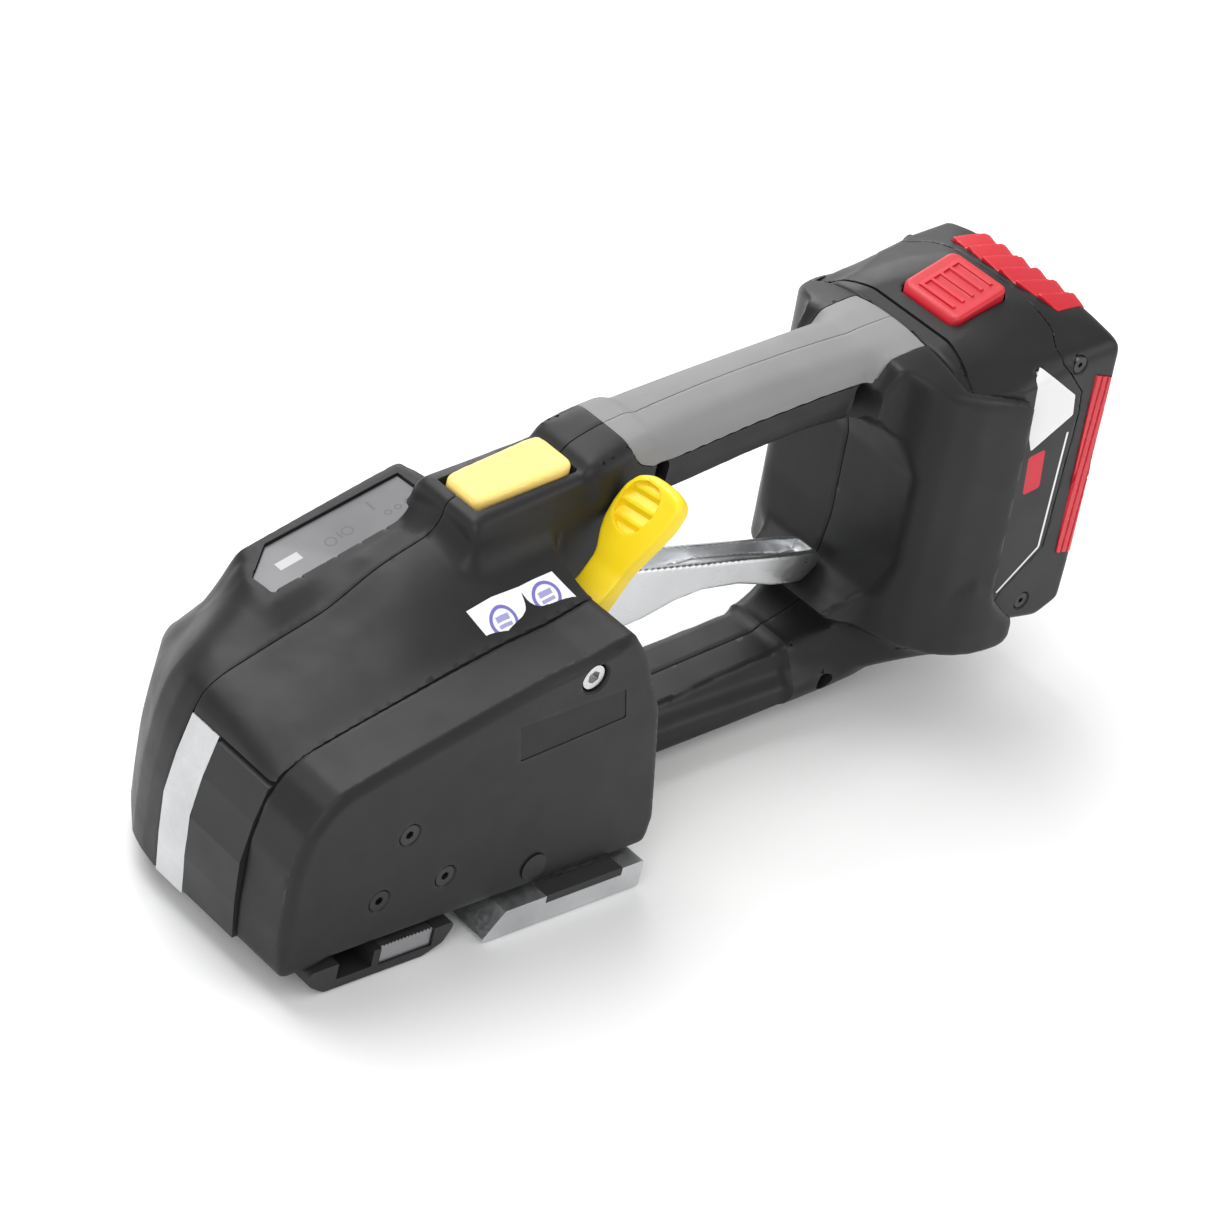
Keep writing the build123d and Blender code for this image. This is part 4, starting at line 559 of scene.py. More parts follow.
def shell(x, y, z):
    """Hollow housing before it is split, and its solid outside."""
    solid = body(x, y, z)
    along, up = tilt(x, z)
    under_grip = np.clip(3.0 - grip_side(along, up), 0, 2.4)
    thicker = 2.2 * np.clip((y - 6.0) / 6.0, 0, 1) * np.clip((100.0 - x) / 10.0, 0, 1)
    thicker = np.maximum(thicker, 1.4 * np.clip((x - 236.0) / 8.0, 0, 1))
    shape = cut(solid, solid + WALL + under_grip + thicker)
    # battery pocket behind the foot, and the opening in its front wall
    pocket = box(along, y, up, (267.4, 330.0), (-39.6, 39.6), (5.2, 150.0))
    shape = cut(shape, both(pocket, foot_plan(along, y) + 3.0))
    shape = cut(shape, box(along, y, up, (262.0, 270.0), (-17.6, 17.6), (11.6, 92.4)))
    for opening in SHELL_CUTS:
        shape = cut(shape, box(x, y, z, *opening))
    # shallow groove for the grip pads
    groove = cut(both(grip_side(along, up), np.abs(y) - 15.6), solid + 2.3)
    return cut(shape, groove), solid


def housing_left(x, y, z):
    shape, solid = shell(x, y, z)
    shape = both(shape, np.where(x < 190.0, LEFT - y, -45.0 - y), 0.6)
    shape = cut(shape, both(nose_window_side(x, z), slab(y, OUTSIDE, 0.5)))
    shape = cut(shape, both(cover_bay_side(x, z), slab(y, OUTSIDE, -22.0)))
    shape = cut(shape, box(x, y, z, (3.0, 136.0), (OUTSIDE, 0.5), (-10.0, 13.6)))
    shape = cut(shape, both(lever_way_side(x, z), slab(y, -33.0, 8.6)))
    shape = cut(shape, both(weld_slot_side(x, z), slab(y, -35.2, -20.2), 0.4))
    for centre in HOUSING_SCREWS:
        screw_x, screw_z = centre
        in_handle = screw_z > HANDLE_SCREW_Z
        post = from_axis(x, z, centre) - LEFT_POST
        if in_handle:
            width = (screw_x - LEFT_POST, screw_x + LEFT_POST)
            post = join(post, box(x, y, z, width, (OUTSIDE, 6.0), (screw_z - 14.0, screw_z)))
        post = both(post, solid + 0.3)
        shape = join(shape, both(post, slab(y, OUTSIDE, 0)), 0.5)
        bore_y = (OUTSIDE, -6.0)
        shape = cut(shape, rod(x, y, z, centre, LEFT_BORE, bore_y))
        if in_handle:  # the counterbore runs out through the underside
            width = (screw_x - LEFT_BORE, screw_x + LEFT_BORE)
            shape = cut(shape, box(x, y, z, width, bore_y, (screw_z - 12.0, screw_z)))
    return both(shape, y + SPLIT_GAP, 0.45)


def housing_right(x, y, z):
    shape, solid = shell(x, y, z)
    film_z = 84.5 + 0.29 * (x - 37.0)
    shape = cut(shape, both(film_plan(x, y), np.abs(z - (film_z + 0.6)) - 2.3))
    for centre in HOUSING_SCREWS:
        post = both(from_axis(x, z, centre) - RIGHT_POST, solid + 0.3)
        shape = join(shape, both(post, slab(y, 0, 60)), 0.5)
    return both(shape, SPLIT_GAP - y, 0.45)


def grip(x, y, z):
    solid = body(x, y, z)
    shape = both(both(grip_side(*tilt(x, z)) + 0.22, np.abs(y) - 15.4), solid, 0.6)
    return cut(shape, solid + 2.2)


def grip_left(x, y, z):
    return both(grip(x, y, z), y + 0.08, 0.3)


def grip_right(x, y, z):
    return both(grip(x, y, z), 0.08 - y, 0.3)


# ---------------------------------------------------------------- side cover
cover_side = outline([
    (3.0, 9.6), (1.6, 24.0), (1.3, 45.0), (4.0, 57.5), (8.5, 64.4), (14.5, 68.9),
    (30.7, 73.4), (47.4, 77.6), (64.4, 81.9), (81.7, 85.9), (98.0, 88.4), (108.5, 91.4),
    (113.4, 93.2), (120.0, 84.0), (130.6, 62.0), (135.0, 42.0), (139.6, 20.0),
    (138.4, 11.2), (20.0, 11.2), (15.0, 9.6)], 1.1)
plate_side = outline([(75.2, 73.0), (78.2, 60.2), (117.0, 63.4), (114.2, 74.2)], 0.3)
COVER_SCREWS = [(41.3, 46.7), (58.8, 26.2), (35.0, 25.7)]
COVER_TOP_SCREW = (100.9, 81.6)
COVER_PIN = (93.4, 17.8)
COVER_CELL = 0.85


def side_cover(x, y, z):
    edge = cover_side(x, z)
    shape = both(edge, y + 36.6, 0.8)
    # wide chamfer along the top and nose, a small one along the rear and bottom
    wide = np.clip((118.0 - x) / 10.0, 0, 1) * np.clip((z - 12.0) / 8.0, 0, 1)
    chamfer = 2.3 * wide + 0.6 * (1 - wide)
    shape = both(shape, COVER_FACE - y, 0.3)
    shape = both(shape, (edge + COVER_FACE - y + chamfer) * 0.7071, 0.6)
    # fine groove in the rim where the chamfer is wide
    groove = both(-0.45 - edge, np.abs(y + 53.6) - 0.35)
    shape = cut(shape, both(groove, 0.5 - wide))
    hollow = both(edge + 2.4, slab(y, -51.2, -35.0))
    hollow = join(hollow, both(edge + 6.5, slab(y, -54.6, -35.0)))
    for centre in COVER_SCREWS:
        hollow = cut(hollow, rod(x, y, z, centre, 4.6, (-58.0, -53.2)))
        sink = from_axis(x, z, centre) - 3.5 - np.clip(-56.5 - y, 0, 1)
        shape = cut(shape, both(sink, y + 54.4))
    hollow = cut(hollow, rod(x, y, z, COVER_TOP_SCREW, 5.6, (-58.0, -36.0)))
    pin_boss = both(rod(x, y, z, COVER_PIN, 6.0, (-58.0, -54.0)), 11.2 - z)
    shape = cut(shape, cut(hollow, pin_boss))
    # open bottom, closed again under the nose
    bottom = box(x, y, z, (5.6, 136.0), (-54.6, -30.0), (0.0, 19.0))
    shape = cut(shape, cut(bottom, box(x, y, z, (0.0, 16.0), (-80, -20), (0, 11.2))))
    sink = from_axis(x, z, COVER_TOP_SCREW) - 4.6 - np.clip(-56.4 - y, 0, 1)
    shape = cut(shape, both(sink, y + 52.0))
    shape = cut(shape, rod(x, y, z, COVER_TOP_SCREW, 2.1, (-60, -30)))
    shape = cut(shape, rod(x, y, z, COVER_PIN, 4.6, (-60, -56.2)))
    shape = cut(shape, rod(x, y, z, COVER_PIN, 2.5, (-60, -50)))
    return cut(shape, both(plate_side(x, z), y + 56.1))


# ---------------------------------------------------------------- levers and top button
lever_side = outline([
    (124.0, 74.6), (150.0, 70.6), (246.0, 51.2), (249.2, 48.6), (248.8, 45.4), (241.0, 41.4),
    (228.0, 44.0), (212.0, 49.2), (196.0, 51.7), (184.0, 50.8), (172.0, 47.8), (160.0, 46.8),
    (146.0, 48.0), (124.0, 53.2)], 0.9)
lever_hollow_side = outline([
    (148.0, 84.0), (150.0, 60.0), (153.0, 57.0), (176.0, 57.4), (200.0, 56.0), (226.0, 50.6),
    (238.0, 47.6), (244.0, 47.4), (245.4, 50.0), (248.0, 66.0)], 0.5)
lever_front_side = outline([
    (112.0, 58.0), (124.0, 66.6), (140.0, 72.4), (260.0, 80.0), (260.0, 0.0), (112.0, 0.0)], 1.0)
LEVER_PIVOT = (124.0, 60.0)
LEVER_HUB = 7.0  # radius
LIFTER_ARM = 20.0


def release_lever(x, y, z):
    half_width = np.interp(x, [0.0, 195.0, 236.0, 244.0, 250.0], [6.0, 6.0, 5.6, 5.2, 4.0])
    shape = both(lever_side(x, z), np.abs(y) - half_width, 0.9)
    hub = from_axis(x, z, LEVER_PIVOT) - LEVER_HUB
    shape = both(shape, join(lever_front_side(x, z), hub))
    hollow = both(lever_hollow_side(x, z), np.abs(y) - (half_width - 1.9), 0.6)
    shape = cut(shape, hollow, 0.3)
    shape = join(shape, rod(x, y, z, LEVER_PIVOT, LEVER_HUB, (-32.4, 8.0), 0.4))
    # short tapered nose that lifts the rocker
    pivot_x = LEVER_PIVOT[0]
    t = np.clip(-(x - pivot_x) / LIFTER_ARM, 0, 1)
    nose = from_axis(x, z, (pivot_x - LIFTER_ARM * t, 62.4 - 0.4 * t)) - (4.4 - 0.9 * t)
    shape = join(shape, both(nose, slab(y, -31.2, -27.9)))
    return cut(shape, from_axis(x, z, LEVER_PIVOT) - 3.05)


weld_side = outline([
    (107.4, 78.6), (116.0, 82.8), (122.6, 88.8), (127.0, 93.8), (131.4, 101.6),
    (136.0, 110.2), (139.9, 117.8), (142.4, 120.0), (144.8, 119.4), (145.1, 115.8),
    (139.6, 106.0), (134.2, 96.0), (127.6, 84.8), (121.0, 76.0), (114.6, 71.8),
    (107.4, 73.0)], 0.9)
# Face and thumb recess of the weld lever: distance up the lever, y.
weld_face = outline([
    (-60.0, -21.2), (-6.0, -21.2), (2.0, -20.4), (7.0, -17.8), (11.0, -16.5), (16.6, -16.2),
    (22.5, -17.0), (26.8, -19.4), (29.0, -23.0), (29.6, -27.4), (29.4, -33.0), (28.2, -36.6),
    (25.4, -38.6), (19.6, -38.6), (13.0, -37.2), (6.0, -35.2), (0.0, -34.0), (-60.0, -34.0)], 0.9)
weld_recess = outline([
    (11.0, -22.0), (13.6, -18.6), (20.0, -18.2), (24.6, -19.8), (27.0, -23.4), (27.2, -28.4),
    (24.4, -31.2), (19.0, -31.4), (13.4, -29.6), (10.6, -26.4)], 0.7)
WELD_PIVOT = (110.0, 74.0)
WELD_FACE_START = (127.4, 93.4)
WELD_DIRECTION = np.array([14.0, 26.4]) / math.hypot(14.0, 26.4)
WELD_RIB_PITCH = 5.0


def weld_lever(x, y, z):
    from_x, from_z = x - WELD_FACE_START[0], z - WELD_FACE_START[1]
    along = from_x * WELD_DIRECTION[0] + from_z * WELD_DIRECTION[1]
    depth = from_x * WELD_DIRECTION[1] - from_z * WELD_DIRECTION[0]
    shape = both(weld_side(x, z), weld_face(along, y), 1.5)
    # thumb recess with sloping ribs
    turns = (along + (y + 24.0) * 0.10 - 12.4) / WELD_RIB_PITCH
    saw = turns - np.floor(turns)
    rib = np.clip(np.minimum(saw * 3.2, (1 - saw) * 1.9), 0, 1)
    recess = both(weld_recess(along, y), depth - (1.75 - 1.15 * rib), 0.3)
    shape = cut(shape, recess, 0.45)
    shape = join(shape, rod(x, y, z, WELD_PIVOT, 5.2, (-34.0, -21.0), 0.6), 1.0)
    return cut(shape, from_axis(x, z, WELD_PIVOT) - 2.55)


button_side = outline([
    (89.7, 105.8), (89.7, 112.0), (90.9, 113.5), (124.2, 117.9), (125.6, 117.2),
    (125.7, 105.8)], 0.5)
button_plan = even_plan([
    (89.7, -5.6), (91.6, -7.4), (95.0, -7.8), (120.5, -8.5), (124.0, -8.0), (125.7, -6.0)], 0.7)


def tension_button(x, y, z):
    shape = both(button_side(x, z), button_plan(x, y), 1.3)
    return join(shape, box(x, y, z, (89.2, 126.2), (-8.7, 8.7), (105.7, 107.2), 0.3))


# ---------------------------------------------------------------- battery pack
# In this section x and z are the tilted frame's along and up.
pack_side = outline([
    (268.0, 6.4), (307.0, 5.4), (320.0, 2.2), (330.0, 6.0), (331.2, 22.0), (330.4, 92.0),
    (330.2, 103.0), (326.6, 109.6), (315.0, 112.6), (304.6, 114.4), (281.0, 109.2),
    (268.0, 108.4)], 1.2)
pack_section = section([
    (-39.2, -10.0), (-39.2, 102.4), (-37.0, 105.8), (-25.0, 110.2), (-15.0, 113.4)],
    1.6, top=[(0.0, 115.6)])
pack_plan = even_plan([(260.0, -60.0), (326.0, -41.8), (330.0, -38.6), (331.8, -34.0)], 0.8)
label_side = outline([
    (293.6, 101.4), (296.6, 104.2), (312.6, 90.6), (313.8, 82.8), (297.6, 74.6),
    (295.4, 80.0), (294.6, 88.0)], 0.3)
stripe_side = outline([(320.2, 95.6), (328.0, 92.4), (329.6, 25.0), (322.0, 27.0)], 0.3)
bumper_plan = outline([
    (313.6, 23.0), (311.4, 8.0), (311.4, -8.0), (315.4, -23.0), (329.0, -23.0),
    (329.0, 23.0)], 0.4)
catch_side = outline([
    (281.0, 106.0), (281.0, 109.6), (283.0, 111.8), (302.4, 116.6), (304.3, 115.6),
    (304.4, 106.0)], 0.6)
catch_plan = even_plan([(281.1, -10.2), (283.6, -12.3), (301.6, -12.3), (304.3, -9.8)], 0.6)
PACK_HALF_WIDTH = 39.2
PACK_SCREWS = [(312.0, 101.6), (311.0, 12.0)]
# How much the top narrows along the pack: x, factor on y.
PACK_TAPER = [[262.0, 270.0, 281.0, 297.0, 312.0], [1.34, 1.30, 1.22, 1.06, 1.0]]
# Seam between the pack's halves on its flanks: z, x.
PACK_SEAM = [[0.0, 14.0, 20.0, 32.0, 82.0, 91.0, 103.0, 108.0, 120.0],
             [296.0, 296.0, 299.0, 315.0, 316.6, 315.4, 305.6, 305.0, 307.0]]


def pack_solid(x, y, z):
    taper = np.interp(x, *PACK_TAPER)
    wider_y = y * (1 + (taper - 1) * smoothstep((z - 99.0) / 7.0))
    shape = both(pack_side(x, z), pack_section(wider_y, z), 2.5)
    shape = both(shape, pack_plan(x, y), 1.0)
    shape = both(shape, np.abs(y) - PACK_HALF_WIDTH)
    return both(shape, foot_plan(x, y) + 3.2)


def pack_seam(x, y, z):
    """Negative in front of the seam, which is straight in the middle of the pack."""
    flank = smoothstep((np.abs(y) - 26.0) / 9.0)
    return (x - (309.0 * (1 - flank) + np.interp(z, *PACK_SEAM) * flank)) * 0.78


def pack_shell(x, y, z):
    solid = pack_solid(x, y, z)
    shape = cut(solid, solid + 4.2)
    shape = join(shape, both(solid, x - 277.0))
    # stepped channel and four narrow slots in the front face
    shape = cut(shape, box(x, y, z, (260.0, 274.7), (-17.8, 17.8), (-5.0, 96.0)))
    shape = cut(shape, box(x, y, z, (270.0, 274.7), (-24.8, 24.8), (-5.0, 96.0)))
    for middle in (-14.0, -6.0, 6.0, 14.0):
        slot_y = (middle - 0.8, middle + 0.8)
        shape = cut(shape, box(x, y, z, (274.0, 278.7), slot_y, (-5.0, 34.0)))
    shape = cut(shape, both(catch_plan(x, y) - 0.45, 104.0 - z), 0.4)
    # rim line near the front, then beds for the labels, stripes and bumper
    rim = np.abs(x - 275.0 + np.clip(np.abs(y) - 16.0, 0, 30) * 0.28) - 0.6
    stripes = both(stripe_side(x, z) - 0.1, 30.0 - np.abs(y))
    bumper = both(bumper_plan(x, y) - 0.1, 100.0 - z)
    for bed, depth in ((rim, 1.1), (label_side(x, z) - 0.08, 1.25), (stripes, 1.8), (bumper, 1.6)):
        shape = cut(shape, cut(bed, solid + depth))
    for centre in PACK_SCREWS:
        radius = from_axis(x, z, centre)
        post = both(radius - 4.4, 33.5 - np.abs(y))
        shape = join(shape, both(post, solid))
        sink = radius - 2.95 - np.clip(np.abs(y) - 38.7, 0, 0.6)
        shape = cut(shape, both(sink, 36.9 - np.abs(y)))
    return shape


def pack_front(x, y, z):
    return both(pack_shell(x, y, z), pack_seam(x, y, z) + 0.1, 0.4)


def pack_rear(x, y, z):
    return both(pack_shell(x, y, z), 0.1 - pack_seam(x, y, z), 0.4)


def pack_stripes(x, y, z):
    """Grooved stripes at the rear of both flanks."""
    solid = pack_solid(x, y, z)
    lean = x - 320.4 + (z - 95.0) * -0.030
    groove = np.clip((0.5 - from_nearest(lean - 0.1, 2.9)) * 2.0, 0, 0.9)
    shape = both(stripe_side(x, z) + 0.1, solid - 0.45 + groove, 0.3)
    return both(cut(shape, solid + 1.7), 30.0 - np.abs(y))


def pack_bumper(x, y, z):
    """Saw-toothed bumper on top."""
    solid = pack_solid(x, y, z)
    turns = (y + 23.0) / 7.6 + (x - 320.0) * 0.02
    saw = turns - np.floor(turns)
    lift = 0.2 + 1.5 * np.clip(saw * 1.25, 0, 1) * (saw < 0.86)
    shape = both(bumper_plan(x, y) + 0.1, (solid - lift) * 0.9, 0.4)
    return both(cut(shape, solid + 1.5), 100.0 - z)


def pack_button(x, y, z):
    """Release button, with a comb of raised lines on its sloping top."""
    shape = both(catch_side(x, z), catch_plan(x, y), 1.1)
    above_top = z - (111.8 + (x - 283.0) * 0.2474)
    area = both(np.abs(y) - 7.6, slab(x, 284.6, 300.6))
    lines = join(from_nearest(x - 285.2, 3.7) - 0.55, np.abs(y - 7.0) - 0.6)
    return join(shape, both(both(area, lines), np.abs(above_top) - 0.65), 0.35)


def pack_label(x, y, z):
    solid = pack_solid(x, y, z)
    shape = both(label_side(x, z), solid - 0.04)
    return both(cut(shape, solid + 1.15), 25.0 - np.abs(y))


# ---------------------------------------------------------------- materials
materials = {}


class Shader:
    """One Principled material and helpers that add nodes to it."""

    def __init__(self, name):
        self.material = materials[name] = bpy.data.materials.new(name)
        self.material.use_nodes = True
        self.tree = self.material.node_tree
        self.tree.nodes.clear()
        output = self.add("OutputMaterial")
        self.surface = self.add("BsdfPrincipled")
        self.put(output.inputs["Surface"], self.surface.outputs["BSDF"])

    def put(self, socket, value):
        """Link a socket, or set its value."""
        if isinstance(value, bpy.types.NodeSocket):
            self.tree.links.new(value, socket)
        else:
            socket.default_value = (*value, 1) if socket.type == "RGBA" else value

    def set(self, name, value):
        self.put(self.surface.inputs[name], value)

    def add(self, kind, inputs=(), **settings):
        node = self.tree.nodes.new("ShaderNode" + kind)
        for name, value in settings.items():
            setattr(node, name, value)
        for key, value in dict(inputs).items():
            self.put(node.inputs[key], value)
        return node

    def object_vector(self):
        return self.add("TexCoord").outputs["Object"]

    def scaled_vector(self, scale=(1, 1, 1)):
        vector = self.object_vector()
        return self.add("Mapping", {"Scale": scale, "Vector": vector}).outputs["Vector"]

    def separate(self, vector):
        return self.add("SeparateXYZ", {0: vector}).outputs

    def noise(self, vector, scale, detail, roughness=0.5):
        inputs = {"Scale": scale, "Detail": detail, "Roughness": roughness, "Vector": vector}
        return self.add("TexNoise", inputs).outputs["Fac"]

    def ramp(self, factor, dark, light, end=0.7):
        node = self.add("ValToRGB", {"Fac": factor})
        stops = zip(node.color_ramp.elements, (0.3, end), (dark, light))
        for stop, position, colour in stops:
            stop.position = position
            stop.color = (*colour, 1)
        return node.outputs["Color"]

    def remap(self, value, source, target=(1.0, 0.0)):
        """Map one range to another; by default a mask, 1 below the range and 0 above."""
        inputs = dict(zip(("From Min", "From Max", "To Min", "To Max"), (*source, *target)))
        return self.add("MapRange", {**inputs, "Value": value}).outputs["Result"]

    def calc(self, operation, *values):
        return self.add("Math", enumerate(values), operation=operation).outputs[0]

    def largest(self, masks):
        return reduce(lambda a, b: self.calc("MAXIMUM", a, b), masks)

    def length(self, dx, dy):
        squares = self.calc("MULTIPLY", dx, dx), self.calc("MULTIPLY", dy, dy)
        return self.calc("SQRT", self.calc("ADD", *squares))

    def beyond(self, value, centre, half):
        """How far a value lies outside centre +- half."""
        away = self.calc("ABSOLUTE", self.calc("SUBTRACT", value, centre))
        return self.calc("SUBTRACT", away, half)

    def mix(self, factor, first, second):
        return self.add("Mix", {0: factor, 6: first, 7: second}, data_type="RGBA").outputs[2]

    def vary_roughness(self, noise, roughness):
        self.set("Roughness", self.remap(noise, (0.3, 0.7), roughness))

    def bump(self, height, strength, depth):
        inputs = {"Strength": strength, "Distance": depth, "Height": height}
        self.set("Normal", self.add("Bump", inputs).outputs["Normal"])


SHELL_DARK, SHELL_LIGHT = (0.0135, 0.0135, 0.014), (0.0185, 0.0185, 0.019)
# Name, dark and light colour, roughness range, grain strength and scale, specular, coat.
PLASTICS = [
    ("shell_charcoal", SHELL_DARK, SHELL_LIGHT, (0.36, 0.48), 0.20, 2600.0, 0.24, 0.0),
    ("block_plastic", (0.011, 0.011, 0.011), (0.017, 0.017, 0.017), (0.5, 0.62),
     0.3, 1800.0, 0.4, 0.0),
    ("yellow_plastic", (0.90, 0.63, 0.005), (0.95, 0.70, 0.01), (0.30, 0.40),
     0.10, 1600.0, 0.45, 0.15),
    ("pale_yellow_plastic", (0.93, 0.64, 0.165), (0.97, 0.70, 0.20), (0.36, 0.46),
     0.10, 1600.0, 0.4, 0.1),
    ("red_plastic", (0.50, 0.010, 0.022), (0.60, 0.018, 0.032), (0.34, 0.44),
     0.14, 1800.0, 0.42, 0.0),
    ("belt_rubber", (0.012, 0.012, 0.012), (0.02, 0.02, 0.02), (0.6, 0.75), 0.5, 900.0, 0.3, 0.0),
    ("bush_rubber", (0.016, 0.016, 0.016), (0.026, 0.026, 0.026), (0.6, 0.72),
     0.4, 900.0, 0.3, 0.0),
    ("cell_wrap", (0.03, 0.10, 0.30), (0.04, 0.13, 0.36), (0.25, 0.35), 0.1, 900.0, 0.5, 0.0),
    ("cable_sheath", (0.22, 0.010, 0.010), (0.30, 0.016, 0.016), (0.4, 0.5),
     0.2, 900.0, 0.4, 0.0),
    ("white_label_plain", (0.74, 0.74, 0.74), (0.80, 0.80, 0.80), (0.36, 0.46),
     0.08, 1600.0, 0.45, 0.0),
    ("blank_plate", (0.0035, 0.0035, 0.0035), (0.005, 0.005, 0.005), (0.34, 0.44),
     0.10, 2200.0, 0.22, 0.0),
]
EVEN = (1, 1, 1)
# Name, dark and light colour, roughness range, grain stretch, scale and bump, metallic.
METALS = [
    ("cast_aluminium", (0.50, 0.51, 0.52), (0.66, 0.67, 0.68), (0.36, 0.52),
     EVEN, 700.0, 0.30, 1.0),
    ("polished_aluminium", (0.70, 0.71, 0.72), (0.80, 0.81, 0.82), (0.26, 0.38),
     (0.15, 1, 1), 900.0, 0.10, 1.0),
    ("bright_steel", (0.60, 0.60, 0.61), (0.70, 0.70, 0.71), (0.22, 0.36),
     EVEN, 600.0, 0.10, 1.0),
    ("tool_steel", (0.34, 0.34, 0.35), (0.44, 0.44, 0.45), (0.30, 0.44), EVEN, 600.0, 0.15, 1.0),
    ("black_steel", (0.035, 0.035, 0.037), (0.06, 0.06, 0.062), (0.30, 0.42),
     EVEN, 600.0, 0.10, 0.8),
    ("copper", (0.60, 0.27, 0.13), (0.72, 0.36, 0.20), (0.30, 0.44), (1, 12, 1), 300.0, 0.3, 1.0),
    ("contact_brass", (0.72, 0.55, 0.24), (0.80, 0.64, 0.30), (0.25, 0.36),
     EVEN, 400.0, 0.15, 1.0),
]


def plastic(name, dark, light, roughness, grain, grain_scale, specular, coat):
    s = Shader(name)
    vector = s.scaled_vector()
    blotches = s.noise(vector, scale=22.0, detail=4.0)
    fine = s.noise(vector, scale=grain_scale, detail=2.0, roughness=0.6)
    colour = s.ramp(blotches, dark, light, end=0.72)
    edges = s.add("NewGeometry").outputs["Pointiness"]
    wear = s.calc("MULTIPLY", s.remap(edges, (0.5, 0.62), (0.0, 1.0)), 0.35)
    worn = tuple(min(1.0, c * 1.9 + 0.015) for c in light)
    s.set("Base Color", s.mix(wear, colour, worn))
    s.vary_roughness(s.noise(vector, scale=90.0, detail=5.0), roughness)
    s.set("Specular IOR Level", specular)
    if coat:
        s.set("Coat Weight", coat)
        s.set("Coat Roughness", 0.25)
    s.bump(fine, strength=grain, depth=0.00012)


def metal(name, dark, light, roughness, stretch, scale, bump, metallic):
    s = Shader(name)
    grain = s.noise(s.scaled_vector(stretch), scale=scale, detail=4.0, roughness=0.65)
    blotches = s.noise(s.scaled_vector(), scale=35.0, detail=4.0)
    s.set("Base Color", s.ramp(blotches, dark, light))
    s.vary_roughness(grain, roughness)
    s.set("Metallic", metallic)
    s.bump(grain, strength=bump, depth=0.00010)


def soft_grip():
    """Grey rubber with a pattern of small dots."""
    s = Shader("soft_grip_grey")
    vector = s.scaled_vector()
    blotches = s.noise(vector, scale=30.0, detail=4.0)
    s.set("Base Color", s.ramp(blotches, (0.21, 0.21, 0.213), (0.245, 0.245, 0.248)))
    s.set("Specular IOR Level", 0.35)
    s.vary_roughness(s.noise(vector, scale=120.0, detail=4.0), (0.48, 0.60))
    cells = s.add("TexVoronoi", {"Scale": 210.0, "Randomness": 0.15, "Vector": vector})
    dots = s.remap(cells.outputs["Distance"], (0.0, 0.16))
    fine = s.noise(vector, scale=2400.0, detail=2.0)
    height = s.calc("ADD", dots, s.calc("MULTIPLY", fine, 0.12))
    s.bump(height, strength=0.5, depth=0.00015)


def display_film():
    """Printed film: smoke grey with a lighter window and faint generic key symbols."""
    s = Shader("display_film")
    vector = s.object_vector()
    x, y, _ = s.separate(vector)

    def rectangle(x0, x1, y0, y1):
        out_x = s.beyond(x, ((x0 + x1) / 2 - ORIGIN_X) / 1000, (x1 - x0) / 2000)
        out_y = s.beyond(y, (y0 + y1) / 2000, (y1 - y0) / 2000)
        return s.remap(s.calc("MAXIMUM", out_x, out_y), (-0.0001, 0.0001))

    def ring(centre_x, centre_y, radius, half_line):
        dx = s.calc("SUBTRACT", x, (centre_x - ORIGIN_X) / 1000)
        dy = s.calc("SUBTRACT", y, centre_y / 1000)
        away = s.calc("ABSOLUTE", s.calc("SUBTRACT", s.length(dx, dy), radius / 1000))
        return s.remap(away, (half_line / 1000, half_line / 1000 + 0.0001))

    marks = [
        (ring, (69.0, 19.5, 1.6, 0.22)), (ring, (63.0, 19.0, 1.6, 0.22)),
        (rectangle, (66.0, 66.6, 18.0, 21.0)),
        *((ring, (82.0 + 3.4 * k, 18.0, 0.9, 0.20)) for k in range(3)),
        (rectangle, (79.4, 80.2, 21.5, 25.5)),
    ]
    blotches = s.noise(vector, scale=45.0, detail=3.0)
    base = s.ramp(blotches, (0.098, 0.099, 0.107), (0.138, 0.139, 0.147))
    dark = s.largest(shape(*size) for shape, size in marks)
    colour = s.mix(s.calc("MULTIPLY", dark, 0.55), base, (0.035, 0.036, 0.042))
    colour = s.mix(rectangle(46.0, 53.5, 18.8, 22.0), colour, (0.42, 0.42, 0.42))
    s.set("Base Color", colour)
    s.set("Roughness", 0.32)
    s.set("Coat Weight", 0.25)
    s.bump(s.noise(vector, scale=900.0, detail=2.0), strength=0.06, depth=0.0001)


